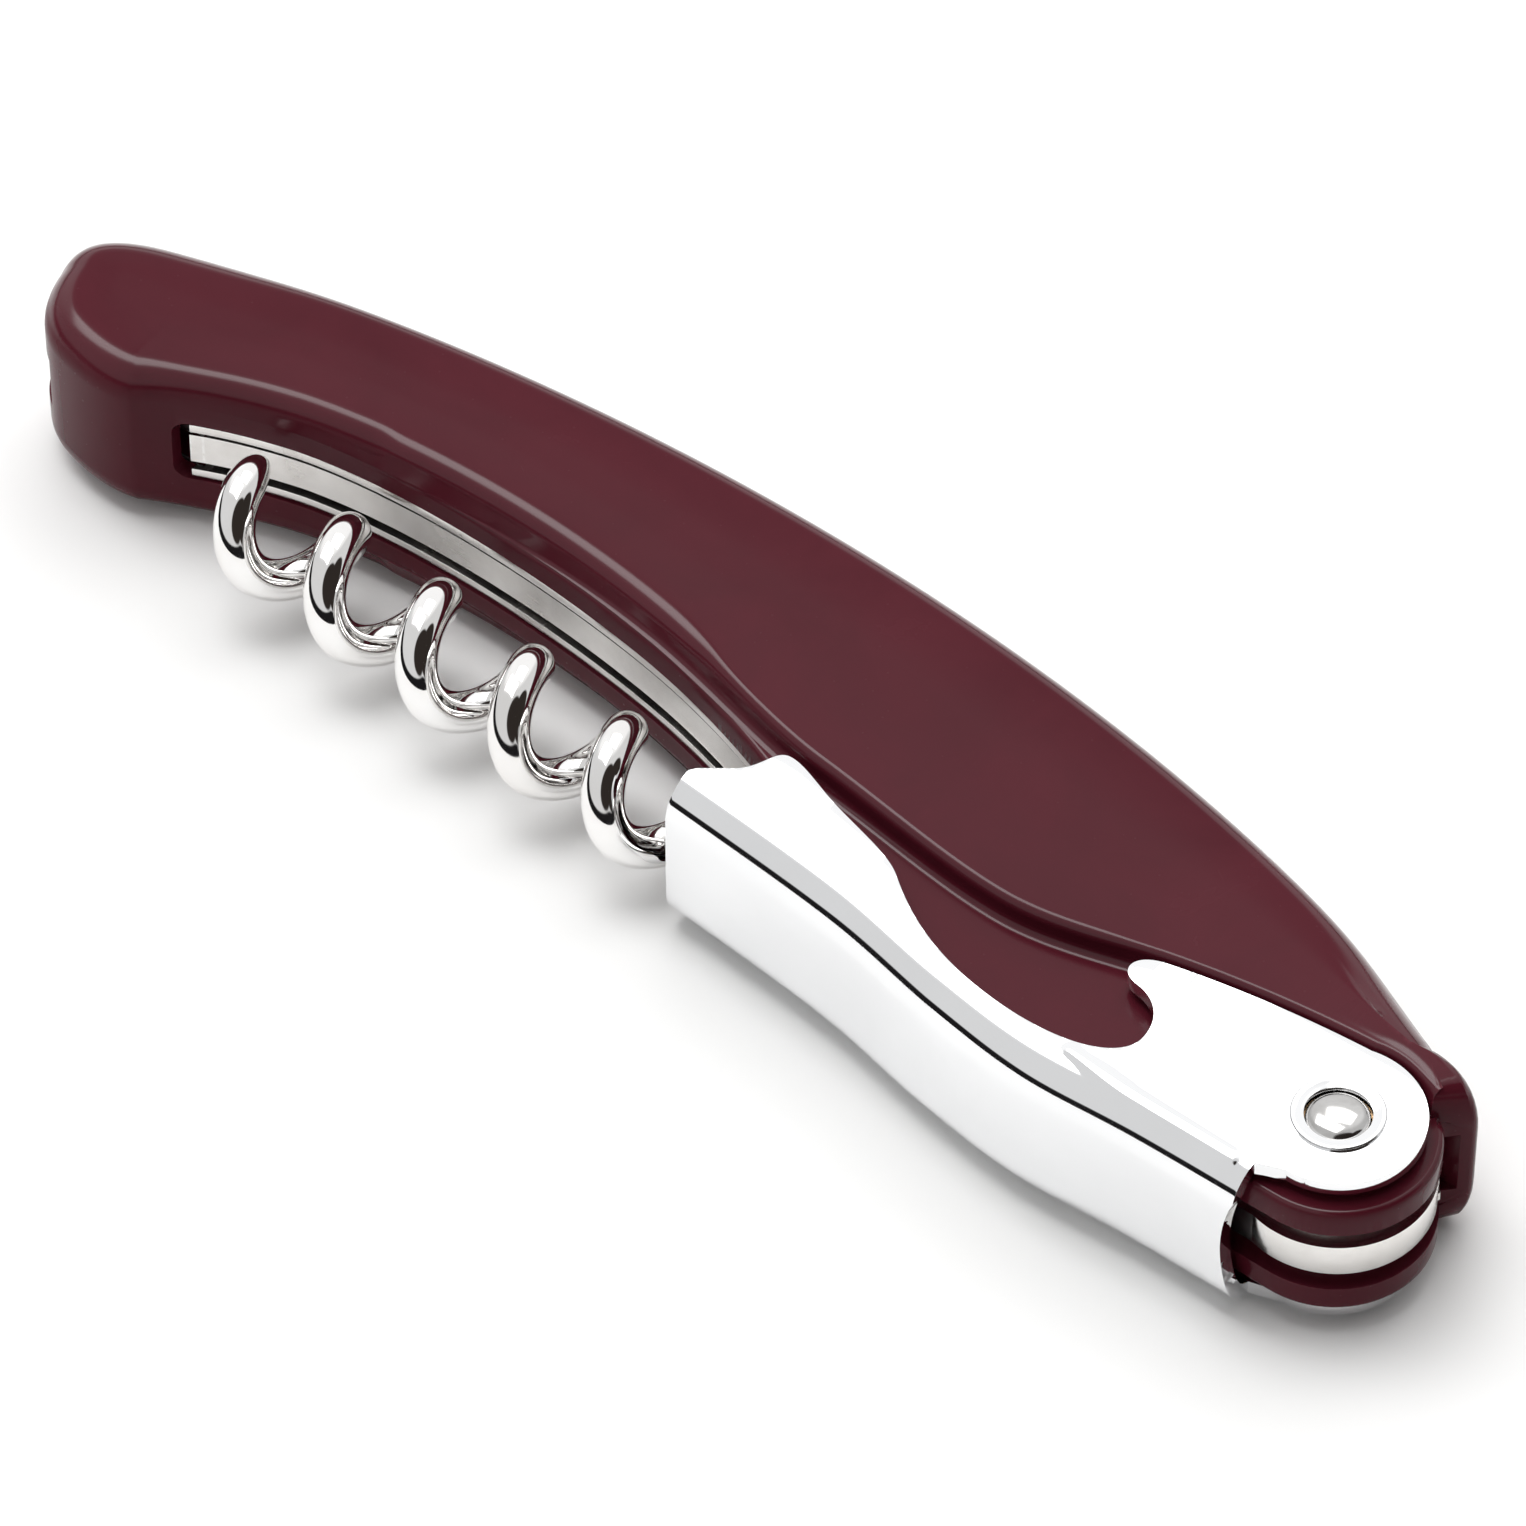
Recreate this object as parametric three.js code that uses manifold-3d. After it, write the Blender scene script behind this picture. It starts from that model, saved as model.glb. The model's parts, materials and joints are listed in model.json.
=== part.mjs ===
// A waiter's lever corkscrew, folded shut and lying on its side: a painted shell handle on a steel
// frame, a pressed steel lever, a wire worm and a small foil knife.
// Millimetres, +Z up. The model is drawn about the lever's pivot, with the mid-plane at z = 0, and
// the finished group is then set down so that the box's bottom centre is the origin.
import * as THREE from "three";
import { mergeVertices } from "three/addons/utils/BufferGeometryUtils.js";
import Module from "manifold-3d";

const wasm = await Module();
wasm.setup();

// Overall. The outlines are drawn for drawnReach and lengthen beyond the lever's foot.
const drawnReach = 117.3;
const handleReach = 117.3; // pivot to the rounded end
const handleThickness = 14.2;

// Sheet, wire and washers.
const leverSheet = 1.1;
const linerSheet = 0.7;
const knifeThickness = 1.8;
const wormWire = 3.0;
const leverWasherThickness = 0.7;
const wormWasherThickness = 0.25;
const ringHeight = 0.2;

// Fits.
const faceGap = 0.05; // between a washer and the faces beside it
const turnGap = 0.08; // between a turning hole and its pin, on the radius
const pressGap = 0.03; // between a fixed hole and its pin, on the radius
const sweepGap = 0.35; // between the lever's edge and the step beside it
const leverInset = 0.35; // cheek below the handle's face
const slotGap = 0.2; // between a liner and the slot's side
const plateGap = 0.525; // between the plate and a liner
const hollowGap = 0.3; // between a liner's edge and the hollow's wall
const linerInset = 0.15; // liner edge behind the handle's front edge
const plateInset = 0.4; // plate edge behind the handle's front edge

// Lever pivot end.
const discRadius = 7.0;
const earStep = 1.1; // the lever's ears are this much smaller in radius
const rivetRadius = 1.75;
const rivetHeadRadius = 2.2;
const rivetDome = 0.7;
const ringRadius = 3.2;
const leverWasherRadius = 4.2;
const heelAngle = 50;

// Lever.
const leverLength = 52;
const leverCorner = 3.0;
const webEnd = 1.8; // the web stops this far short of the pivot

// Worm: its coils start at the shank's end and run towards the tip.
const wormOuter = 9.2;
const wormTurns = 4.7;
const coilEndX = -52.65; // the coil closes here, beside the lever's foot
const wormPin = new THREE.Vector2(-31.5, -3.4);
const wormPinRadius = 1.25;
const wormEyeRadius = 2.7;
const eyeSink = 0.6; // how far the shank runs into the eye
const wormFrontY = 0.56; // the coil's axis at its front point
const wormRearY = -2.96; // and where the coil closes
const tipRoom = 10.1; // from the slot's closed end to that point
const wormFrontPhase = 165; // the wire's place round the axis there, 90 being uppermost
const leadTurns = 0.615; // part of a turn in which the last coil closes into the shank
const wormTipTurn = -0.18; // turns from that point back to where the taper starts
const wormTipLength = 2.9;

// Knife.
const knifePin = new THREE.Vector2(-109.4, 8.7);
const knifePinRadius = 1.25;
const knifeTangRadius = 2.9;
const knifeTip = -60;
const knifeStop = new THREE.Vector2(-55.5, 13.4);

// Handle.
const slotStart = -103; // front slot's closed end
const bridgeTop = 3.1; // upper side of the solid chin beside that end
const spineStart = -50; // the back is closed from here to the heel
const spineTop = 15.7; // the hollow's depth there
const heelFloor = 6.4; // and at the heel
const edgeBevel = 0.5;
const linerDisc = discRadius - 1.6; // a liner's rounded end at the pivot
const linerEnd = 3.3; // and about the knife's pin
const frameRivetRadius = 1.1;
const frameRivets = [
  [-95, 8.4],
  [-68, 9.4],
  [-19, 1.5],
];

const footX = -56; // the outlines keep their place from here to the pivot
const endX = -97; // and move as one from here to the rounded end
const round = 24; // sides of a turned piece
const planSteps = 7; // chords in each curve of a plan outline
const beyond = 25; // cutting outlines run this far past the model
const halfHandle = handleThickness / 2;
const leverWidth = handleThickness - 2 * leverInset;
const linerGap = wormWire + 2 * (wormWasherThickness + 2 * faceGap);
const slotHeight = linerGap + 2 * (linerSheet + slotGap);
const plateThickness = linerGap - 2 * plateGap;
const earRadius = discRadius - earStep;
const leverInside = leverWidth / 2 - leverSheet;
const shelf = leverInside - leverWasherThickness - 2 * faceGap;
const linerInside = linerGap / 2;
const linerOutside = linerInside + linerSheet;
const recessRadius = earRadius + sweepGap;
const pinReach = shelf - 0.9; // how far the hidden pins go into the shell

const paint = new THREE.MeshStandardMaterial({ color: 0x4a1f29, roughness: 0.28, metalness: 0.1 });
const chrome = new THREE.MeshStandardMaterial({ color: 0xe6e7ea, roughness: 0.06, metalness: 1 });
const steel = new THREE.MeshStandardMaterial({ color: 0xb9b6b2, roughness: 0.3, metalness: 1 });
const bronze = new THREE.MeshStandardMaterial({ color: 0xb98a50, roughness: 0.4, metalness: 1 });

const turn = THREE.MathUtils.degToRad;
const wormRadius = (wormOuter - wormWire) / 2;

// Where a drawn point lies in a handle of the given reach.
function atReach(x) {
  const share = THREE.MathUtils.clamp((footX - x) / (footX - endX), 0, 1);
  return x - (handleReach - drawnReach) * share;
}

function moved(point) {
  return new THREE.Vector2(atReach(point.x), point.y);
}

function reached(shape) {
  const { shape: points } = shape.extractPoints(planSteps);
  return new THREE.Shape(points.map(moved));
}

const knifeCentre = moved(knifePin);
const wormStart = new THREE.Vector2(atReach(slotStart) + tipRoom, wormFrontY);
const wormRun = wormPin.clone().sub(wormStart);
const coilRun = new THREE.Vector2(coilEndX, wormRearY).sub(wormStart);
const wormPitch = coilRun.length() / (wormTurns + wormTipTurn);
const wormLead = leadTurns * wormPitch;
const wormAxis = coilRun.clone().normalize();
const wormSide = new THREE.Vector2(-wormAxis.y, wormAxis.x);

// ---- Solids ----

function solid(geometry) {
  const bare = geometry.index ? geometry.toNonIndexed() : geometry.clone();
  bare.deleteAttribute("normal");
  bare.deleteAttribute("uv");
  const merged = mergeVertices(bare, 1e-4);
  const made = new wasm.Manifold(
    new wasm.Mesh({
      numProp: 3,
      vertProperties: new Float32Array(merged.attributes.position.array),
      triVerts: new Uint32Array(merged.index.array),
    }),
  );
  return made;
}

function piece(name, made, material) {
  const data = made.getMesh();
  const geometry = new THREE.BufferGeometry();
  geometry.setAttribute("position", new THREE.BufferAttribute(data.vertProperties, 3));
  geometry.setIndex(new THREE.BufferAttribute(data.triVerts, 1));
  geometry.computeVertexNormals();
  const mesh = new THREE.Mesh(geometry, material.clone());
  mesh.name = name;
  return mesh;
}

// A plan outline made into a slab from one height to another.
function slab(shape, low, high) {
  const geometry = new THREE.ExtrudeGeometry(shape, {
    depth: high - low,
    bevelEnabled: false,
    curveSegments: planSteps,
  });
  geometry.translate(0, 0, low);
  return solid(geometry);
}

function disc(centre, radius, low, high) {
  const geometry = new THREE.CylinderGeometry(radius, radius, high - low, round);
  geometry.rotateX(Math.PI / 2);
  geometry.translate(centre.x, centre.y, (low + high) / 2);
  return solid(geometry);
}

function washer(centre, inner, outer, low, high) {
  return disc(centre, outer, low, high).subtract(disc(centre, inner, low - 1, high + 1));
}

function polygon(points) {
  return new THREE.Shape(points.map(([x, y]) => new THREE.Vector2(x, y)));
}

const pivot = new THREE.Vector2(0, 0);

function onCircle(radius, degrees) {
  return [radius * Math.cos(turn(degrees)), radius * Math.sin(turn(degrees))];
}

// ---- Handle outlines ----

// The rounded end, the back edge and the heel, run from the heel's step round to the chin.
function backOfHandle(shape) {
  shape.lineTo(5.9, 6.9);
  shape.bezierCurveTo(6.3, 7.6, 5.6, 8.5, 3.0, 9.3);
  shape.bezierCurveTo(-36, 25.5, -85, 22, -112, 13);
  shape.bezierCurveTo(-116.2, 11.6, -118.2, 9.4, -116.9, 6.4);
  shape.bezierCurveTo(-115.9, 4.3, -114.6, 2.7, -112.4, 2.0);
  shape.bezierCurveTo(-110, 1.3, -107.2, 0.3, -105.4, 0.7);
}

// The full outline, which the slot's lips and the ends follow.
function coreOutline() {
  const shape = new THREE.Shape();
  shape.moveTo(-105.4, 0.7);
  shape.bezierCurveTo(-102.5, 2.8, -98, 4.6, -94, 5.6);
  shape.bezierCurveTo(-86, 7.4, -74, 7.2, -63.5, 5.6);
  shape.bezierCurveTo(-50, 3.5, -41, -2.2, -33, -5.2);
  shape.bezierCurveTo(-29, -6.7, -24, -7.6, -18, -7.6);
  shape.bezierCurveTo(-12, -7.6, -6, -discRadius, 0, -discRadius);
  shape.absarc(0, 0, discRadius, turn(-90), turn(heelAngle), false);
  backOfHandle(shape);
  return reached(shape);
}

// The raised main faces, which stop at a step in front of which the lever's cheeks lie.
function faceOutline() {
  const shape = new THREE.Shape();
  shape.moveTo(-105.4, 0.7);
  shape.bezierCurveTo(-102.5, 2.8, -98, 4.7, -94, 5.75);
  shape.bezierCurveTo(-86, 7.7, -74, 8.3, -62, 6.2);
  shape.bezierCurveTo(-56, 5.1, -51, 3.3, -46, 2.7);
  shape.bezierCurveTo(-40, 2.1, -34, 0.9, -29, 0.9);
  shape.bezierCurveTo(-25, 0.9, -21.5, 2.3, -17.2, 3.2 + sweepGap);
  shape.bezierCurveTo(-12.5, 4.4 + sweepGap, -7, 5.3 + sweepGap, ...onCircle(recessRadius, 105));
  shape.absarc(0, 0, recessRadius, turn(105), turn(heelAngle), true);
  backOfHandle(shape);
  return reached(shape);
}

// Where the shell is hollow for the frame and the knife, seen from above.
function hollowOutline() {
  const shape = new THREE.Shape();
  shape.moveTo(slotStart, -beyond);
  shape.lineTo(beyond, -beyond);
  shape.lineTo(beyond, heelFloor);
  shape.lineTo(2.5, heelFloor);
  shape.bezierCurveTo(-14, 12.2, -32, 15.4, spineStart, spineTop);
  shape.lineTo(spineStart, beyond);
  shape.lineTo(-drawnReach - beyond, beyond);
  shape.lineTo(-drawnReach - beyond, bridgeTop);
  shape.lineTo(slotStart, bridgeTop);
  return reached(shape);
}

function shellSolid() {
  const faces = new THREE.ExtrudeGeometry(faceOutline(), {
    depth: handleThickness - 2 * edgeBevel,
    bevelEnabled: true,
    bevelSize: edgeBevel,
    bevelThickness: edgeBevel,
    bevelOffset: -edgeBevel,
    bevelSegments: 2,
    curveSegments: planSteps,
  });
  faces.translate(0, 0, edgeBevel - halfHandle);
  let made = solid(faces).add(slab(coreOutline(), -shelf, shelf));
  made = made.subtract(slab(hollowOutline(), -slotHeight / 2, slotHeight / 2));
  made = made.subtract(disc(pivot, rivetRadius + pressGap, -halfHandle, halfHandle));
  const reach = pinReach + faceGap;
  made = made.subtract(disc(wormPin, wormPinRadius + pressGap, -reach, reach));
  return made.subtract(disc(knifeCentre, knifePinRadius + pressGap, -reach, reach));
}

// ---- Frame ----

function shifted(shape, dy) {
  const { shape: points } = shape.extractPoints(planSteps);
  return new THREE.Shape(points.map((p) => new THREE.Vector2(p.x, p.y + dy)));
}

function frameHoles(made, low, high) {
  let cut = made.subtract(disc(pivot, rivetRadius + pressGap, low, high));
  for (const [x, y] of frameRivets) {
    const centre = moved(new THREE.Vector2(x, y));
    cut = cut.subtract(disc(centre, frameRivetRadius + pressGap, low, high));
  }
  return cut;
}

function linerOutline() {
  const shape = new THREE.Shape();
  const lift = -hollowGap;
  shape.moveTo(slotStart + 1.2, -beyond);
  shape.lineTo(-9, -beyond);
  shape.lineTo(-9, -linerDisc + 0.2);
  shape.lineTo(0, -linerDisc);
  shape.absarc(0, 0, linerDisc, turn(-90), turn(30), false);
  shape.lineTo(linerDisc - 0.1, heelFloor - 1.2);
  shape.lineTo(3.6, heelFloor + lift);
  shape.lineTo(2.2, heelFloor + lift);
  shape.bezierCurveTo(-14, 12.2 + lift, -32, 15.4 + lift, spineStart + lift, spineTop + lift);
  shape.bezierCurveTo(-62, 19.4, -88, 18.6, -106, 13.2);
  shape.lineTo(knifePin.x, knifePin.y + linerEnd);
  shape.absarc(knifePin.x, knifePin.y, linerEnd, turn(90), turn(265), false);
  shape.lineTo(slotStart + 1.2, bridgeTop + hollowGap);
  return reached(shape);
}

function linerSolid(side) {
  const low = side > 0 ? linerInside : -linerOutside;
  const high = low + linerSheet;
  let made = slab(linerOutline(), low, high).intersect(
    slab(shifted(coreOutline(), linerInset), low, high),
  );
  made = frameHoles(made, low - 1, high + 1);
  made = made.subtract(disc(wormPin, wormPinRadius + pressGap, low - 1, high + 1));
  made = made.subtract(disc(knifeCentre, knifePinRadius + pressGap, low - 1, high + 1));
  return made.subtract(disc(moved(knifeStop), frameRivetRadius + pressGap, low - 1, high + 1));
}

// The spring plate fills the slot's front half and shows at the pivot end.
function plateOutline() {
  const shape = new THREE.Shape();
  shape.moveTo(slotStart + 2, -beyond);
  shape.lineTo(-6, -beyond);
  shape.lineTo(0, -discRadius);
  shape.lineTo(2.5, 5.8);
  shape.bezierCurveTo(-14, 9.4, -38, 11.2, -54, 11.3);
  shape.bezierCurveTo(-70, 11.4, -88, 11.0, -99.2, 8.4);
  shape.lineTo(slotStart + 2, 6.6);
  return reached(shape);
}

// Room for the worm's eye, and for its shank shut and open.
function wormRelief(half) {
  const reach = wormEyeRadius + sweepGap;
  const side = wormWire / 2 + sweepGap;
  const near = wormPin.clone().addScaledVector(wormSide, side);
  const far = near.clone().addScaledVector(wormAxis, -24);
  const shut = polygon([
    [near.x, near.y],
    [far.x, far.y],
    [far.x, -beyond],
    [wormPin.x + side, -beyond],
    [wormPin.x + side, wormPin.y],
  ]);
  return slab(shut, -half, half).add(disc(wormPin, reach, -half, half));
}

function plateSolid() {
  const half = plateThickness / 2;
  let made = slab(plateOutline(), -half, half).intersect(
    slab(shifted(coreOutline(), plateInset), -half, half),
  );
  made = made.add(disc(pivot, discRadius - linerInset, -half, half));
  made = made.subtract(wormRelief(half + 1));
  return frameHoles(made, -half - 1, half + 1);
}

// ---- Lever ----

// The web's outer line, from the foot to the pivot end.
const webLine = [
  [-56, -5.4],
  [-52, -5.7],
  [-37.3, -7.0],
  [-27.6, -8.8],
  [-19.5, -9.7],
  [-10, -9.2],
  [9, -8.9],
];

// The U section across the path: x runs across the tool, y from the web towards the handle.
function channelSection() {
  const half = leverWidth / 2;
  const depth = 22;
  const middle = half - leverCorner;
  const innerCorner = leverCorner - leverSheet;
  const shape = new THREE.Shape();
  shape.moveTo(half, depth);
  shape.lineTo(half, leverCorner);
  shape.absarc(middle, leverCorner, leverCorner, 0, turn(-90), true);
  shape.lineTo(-middle, 0);
  shape.absarc(-middle, leverCorner, leverCorner, turn(-90), turn(-180), true);
  shape.lineTo(-half, depth);
  shape.lineTo(-half + leverSheet, depth);
  shape.lineTo(-half + leverSheet, leverCorner);
  shape.absarc(-middle, leverCorner, innerCorner, turn(180), turn(270), false);
  shape.lineTo(middle, leverSheet);
  shape.absarc(middle, leverCorner, innerCorner, turn(-90), 0, false);
  shape.lineTo(half - leverSheet, depth);
  return shape;
}

// The cheeks' outline, with the foot's wave and the cap lifter's hook.
function leverOutline() {
  const shape = new THREE.Shape();
  shape.moveTo(-leverLength, -beyond);
  shape.lineTo(-webEnd, -beyond);
  shape.lineTo(-webEnd, -discRadius + 0.35);
  shape.lineTo(...onCircle(earRadius, -88));
  shape.absarc(0, 0, earRadius, turn(-88), turn(105), false);
  shape.bezierCurveTo(-7, 5.3, -12.5, 4.4, -16.9, 3.2);
  shape.bezierCurveTo(-18.9, 2.5, -18.8, 0.8, -17.0, 0.6);
  shape.bezierCurveTo(-15.0, 0.4, -13.9, -1.2, -13.9, -2.9);
  shape.bezierCurveTo(-13.9, -4.8, -16.5, -6.4, -21.5, -6.4);
  shape.bezierCurveTo(-28, -6.3, -32, -4.3, -35.2, -1.9);
  shape.bezierCurveTo(-36.5, -0.9, -38.5, -0.5, -41.1, 0.2);
  shape.bezierCurveTo(-44, 0.9, -46.0, 2.1, -47.4, 2.0);
  shape.bezierCurveTo(-48.6, 1.9, -48.3, 0.0, -49.6, -1.1);
  shape.lineTo(-leverLength + 0.4, -2.7);
  shape.lineTo(-leverLength, -3.2);
  return shape;
}

function leverSolid() {
  const path = new THREE.CatmullRomCurve3(webLine.map(([x, y]) => new THREE.Vector3(x, y, 0)));
  const channel = new THREE.ExtrudeGeometry(channelSection(), {
    steps: 16,
    curveSegments: 3,
    extrudePath: path,
  });
  const half = leverWidth / 2;
  let made = solid(channel).intersect(slab(leverOutline(), -half, half));
  made = made.subtract(disc(pivot, rivetHeadRadius + turnGap, -half - 1, half + 1));
  return made;
}

// ---- Worm ----

// The wire's centre line: a helix whose radius closes to the shank's straight run to the eye.
class WormCurve extends THREE.Curve {
  getPoint(t, target = new THREE.Vector3()) {
    const start = wormTipTurn * wormPitch;
    const coilEnd = start + wormTurns * wormPitch;
    const shankEnd = wormRun.dot(wormAxis) - wormEyeRadius + eyeSink;
    const along = start + t * (shankEnd - start);
    const closing = THREE.MathUtils.smoothstep(along, coilEnd, coilEnd + wormLead);
    const phase = turn(wormFrontPhase) + (2 * Math.PI * Math.min(along, coilEnd + wormLead)) / wormPitch;
    const radius = wormRadius * (1 - closing);
    const shift = wormRun.dot(wormSide) * closing;
    const across = radius * Math.cos(phase) + shift;
    const plan = wormStart.clone().addScaledVector(wormAxis, along).addScaledVector(wormSide, across);
    return target.set(plan.x, plan.y, radius * Math.sin(phase));
  }
}

function wormSolid() {
  const curve = new WormCurve();
  const section = new THREE.Shape();
  section.absarc(0, 0, wormWire / 2, 0, 2 * Math.PI, false);
  const wire = new THREE.ExtrudeGeometry(section, {
    steps: 104,
    curveSegments: 4,
    extrudePath: curve,
  });
  const point = new THREE.CylinderGeometry(wormWire / 2, 0.25, wormTipLength, 8, 1);
  const away = curve.getTangent(0).negate();
  point.translate(0, -wormTipLength / 2 + 0.2, 0);
  point.applyQuaternion(
    new THREE.Quaternion().setFromUnitVectors(new THREE.Vector3(0, -1, 0), away),
  );
  const start = curve.getPoint(0);
  point.translate(start.x, start.y, start.z);
  const eye = disc(wormPin, wormEyeRadius, -wormWire / 2, wormWire / 2);
  const hole = disc(wormPin, wormPinRadius + turnGap, -wormWire, wormWire);
  return solid(wire).add(solid(point)).add(eye).subtract(hole);
}

// ---- Knife ----

function knifeOutline() {
  const shape = new THREE.Shape();
  const [x, y] = [knifePin.x, knifePin.y];
  shape.moveTo(x, y - knifeTangRadius);
  shape.absarc(x, y, knifeTangRadius, turn(-90), turn(100), true);
  shape.bezierCurveTo(x + 3, y + 4.4, x + 6, y + 5.4, x + 9, y + 6.4);
  shape.bezierCurveTo(-88, 17.9, -74, 18.9, knifeTip, 18.4);
  shape.bezierCurveTo(-64, 15.2, -70, 12.6, -78, 12.2);
  shape.bezierCurveTo(-86, 11.8, -94, 11.6, -99, 10.6);
  shape.bezierCurveTo(x + 7.4, y + 1.2, x + 6, y - 0.6, x + 4, y - 1.6);
  shape.bezierCurveTo(x + 3, y - 2.4, x + 1.5, y - knifeTangRadius, x, y - knifeTangRadius);
  return reached(shape);
}

function knifeSolid() {
  const half = knifeThickness / 2;
  const made = slab(knifeOutline(), -half, half);
  const nick = new THREE.BoxGeometry(9, 1.1, 0.5);
  nick.translate(atReach(-80), 16.2, half);
  return made
    .subtract(solid(nick))
    .subtract(disc(knifeCentre, knifePinRadius + turnGap, -half - 1, half + 1));
}

// ---- Rivet ----

function rivetSolid() {
  const shoulder = leverInside + faceGap;
  const profile = new THREE.Path();
  const top = halfHandle;
  profile.moveTo(0, -top);
  profile.quadraticCurveTo(rivetHeadRadius * 0.85, -top, rivetHeadRadius, -top + rivetDome);
  profile.lineTo(rivetHeadRadius, -shoulder);
  profile.lineTo(rivetRadius, -shoulder);
  profile.lineTo(rivetRadius, shoulder);
  profile.lineTo(rivetHeadRadius, shoulder);
  profile.lineTo(rivetHeadRadius, top - rivetDome);
  profile.quadraticCurveTo(rivetHeadRadius * 0.85, top, 0, top);
  const geometry = new THREE.LatheGeometry(profile.getPoints(3), round);
  geometry.rotateX(Math.PI / 2);
  return solid(geometry);
}

// ---- Assembly ----

const corkscrew = new THREE.Group();

function add(name, made, material) {
  corkscrew.add(piece(name, made, material));
}

add("handle_shell", shellSolid(), paint);
add("liner_top", linerSolid(1), steel);
add("liner_bottom", linerSolid(-1), steel);
add("spring_plate", plateSolid(), steel);
add("lever", leverSolid(), chrome);
add("lever_rivet", rivetSolid(), steel);
add("worm", wormSolid(), chrome);
add("worm_pin", disc(wormPin, wormPinRadius, -pinReach, pinReach), steel);
add("knife_blade", knifeSolid(), steel);
add("knife_pin", disc(knifeCentre, knifePinRadius, -pinReach, pinReach), steel);
add("knife_stop_pin", disc(moved(knifeStop), frameRivetRadius, -linerOutside, linerOutside), steel);
frameRivets.forEach(([x, y], i) => {
  const made = disc(moved(new THREE.Vector2(x, y)), frameRivetRadius, -linerOutside, linerOutside);
  add("frame_rivet_" + (i + 1), made, steel);
});

for (const [side, word] of [
  [1, "top"],
  [-1, "bottom"],
]) {
  const between = (low, high) => (side > 0 ? [low, high] : [-high, -low]);
  const leverBand = between(shelf + faceGap, leverInside - faceGap);
  const leverHole = rivetRadius + turnGap;
  add("lever_washer_" + word, washer(pivot, leverHole, leverWasherRadius, ...leverBand), bronze);
  const ringBand = between(leverWidth / 2, leverWidth / 2 + ringHeight);
  const ringHole = rivetHeadRadius + turnGap;
  add("rivet_ring_" + word, washer(pivot, ringHole, ringRadius, ...ringBand), chrome);
  const wormBand = between(wormWire / 2 + faceGap, linerInside - faceGap);
  const wormHole = wormPinRadius + turnGap;
  add("worm_washer_" + word, washer(wormPin, wormHole, wormEyeRadius - 0.2, ...wormBand), bronze);
  const knifeBand = between(knifeThickness / 2 + faceGap, linerInside - faceGap);
  const knifeHole = knifePinRadius + turnGap;
  add("knife_washer_" + word, washer(knifeCentre, knifeHole, knifeTangRadius, ...knifeBand), bronze);
}

const box = new THREE.Box3().setFromObject(corkscrew);
corkscrew.position.set(-(box.min.x + box.max.x) / 2, -(box.min.y + box.max.y) / 2, -box.min.z);

export default corkscrew;
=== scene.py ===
import bpy
import bmesh
import json
import math
import numpy as np
from mathutils import Matrix, Vector


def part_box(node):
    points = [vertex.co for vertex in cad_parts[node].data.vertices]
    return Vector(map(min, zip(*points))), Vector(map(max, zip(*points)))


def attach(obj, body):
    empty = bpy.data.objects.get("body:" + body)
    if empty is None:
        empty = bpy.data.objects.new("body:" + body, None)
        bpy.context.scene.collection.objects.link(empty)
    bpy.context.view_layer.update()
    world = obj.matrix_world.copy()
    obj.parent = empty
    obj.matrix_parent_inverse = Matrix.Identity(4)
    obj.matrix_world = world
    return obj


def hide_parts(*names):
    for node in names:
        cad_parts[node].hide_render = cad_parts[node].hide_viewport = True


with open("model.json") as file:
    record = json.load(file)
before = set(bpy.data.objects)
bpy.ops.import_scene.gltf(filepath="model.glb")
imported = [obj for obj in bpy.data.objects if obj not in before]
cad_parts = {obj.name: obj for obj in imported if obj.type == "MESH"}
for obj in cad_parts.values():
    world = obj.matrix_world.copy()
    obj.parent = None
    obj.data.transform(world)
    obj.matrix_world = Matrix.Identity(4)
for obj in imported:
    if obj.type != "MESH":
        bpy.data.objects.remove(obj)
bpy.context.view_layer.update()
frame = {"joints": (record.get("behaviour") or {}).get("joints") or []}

scene = bpy.context.scene

# Every outline below is in millimetres about the lever's pivot, with the mid-plane at z = 0.
leverJoint = next(j for j in frame["joints"] if j["name"] == "lever_hinge")
wormJoint = next(j for j in frame["joints"] if j["name"] == "worm_hinge")
knifeJoint = next(j for j in frame["joints"] if j["name"] == "knife_hinge")
pivot = Vector(leverJoint["pos_m"])
toFrame = Matrix.Translation(pivot) @ Matrix.Scale(0.001, 4)


def aboutPivot(joint):
    offset = (Vector(joint["pos_m"]) - pivot) * 1000
    return offset.x, offset.y


wormPin = aboutPivot(wormJoint)
knifePin = aboutPivot(knifeJoint)


def nodeSize(name):
    low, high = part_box(name)
    return (high - low) * 1000


# The camera looks down on the front from above the lever end.
view = {
    "azimuth": 38.9,
    "elevation": 48.0,
    "distance": 0.700,
    "lens": 242.8,
    "target": (0.00278, -0.00016, 0.0070),
}

around, above = math.radians(view["azimuth"]), math.radians(view["elevation"])
towardsCamera = Vector((
    math.sin(around) * math.cos(above),
    -math.cos(around) * math.cos(above),
    math.sin(above),
))
cameraData = bpy.data.cameras.new("camera")
cameraData.lens = view["lens"]
cameraData.sensor_width = 36
cameraData.clip_start = 0.05
cameraData.clip_end = 20
camera = bpy.data.objects.new("camera", cameraData)
scene.collection.objects.link(camera)
camera.location = Vector(view["target"]) + towardsCamera * view["distance"]
camera.rotation_euler = (-towardsCamera).to_track_quat("-Z", "Y").to_euler()
scene.camera = camera
print("camera placed")


# Plan outlines are traced from lines, curves and arcs.
def curvePoints(start, c1, c2, end, count):
    a, b, c, d = (np.array(p, float) for p in (start, c1, c2, end))
    t = np.linspace(0, 1, count + 1)[1:, None]
    return (1 - t) ** 3 * a + 3 * (1 - t) ** 2 * t * b + 3 * (1 - t) * t * t * c + t ** 3 * d


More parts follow.
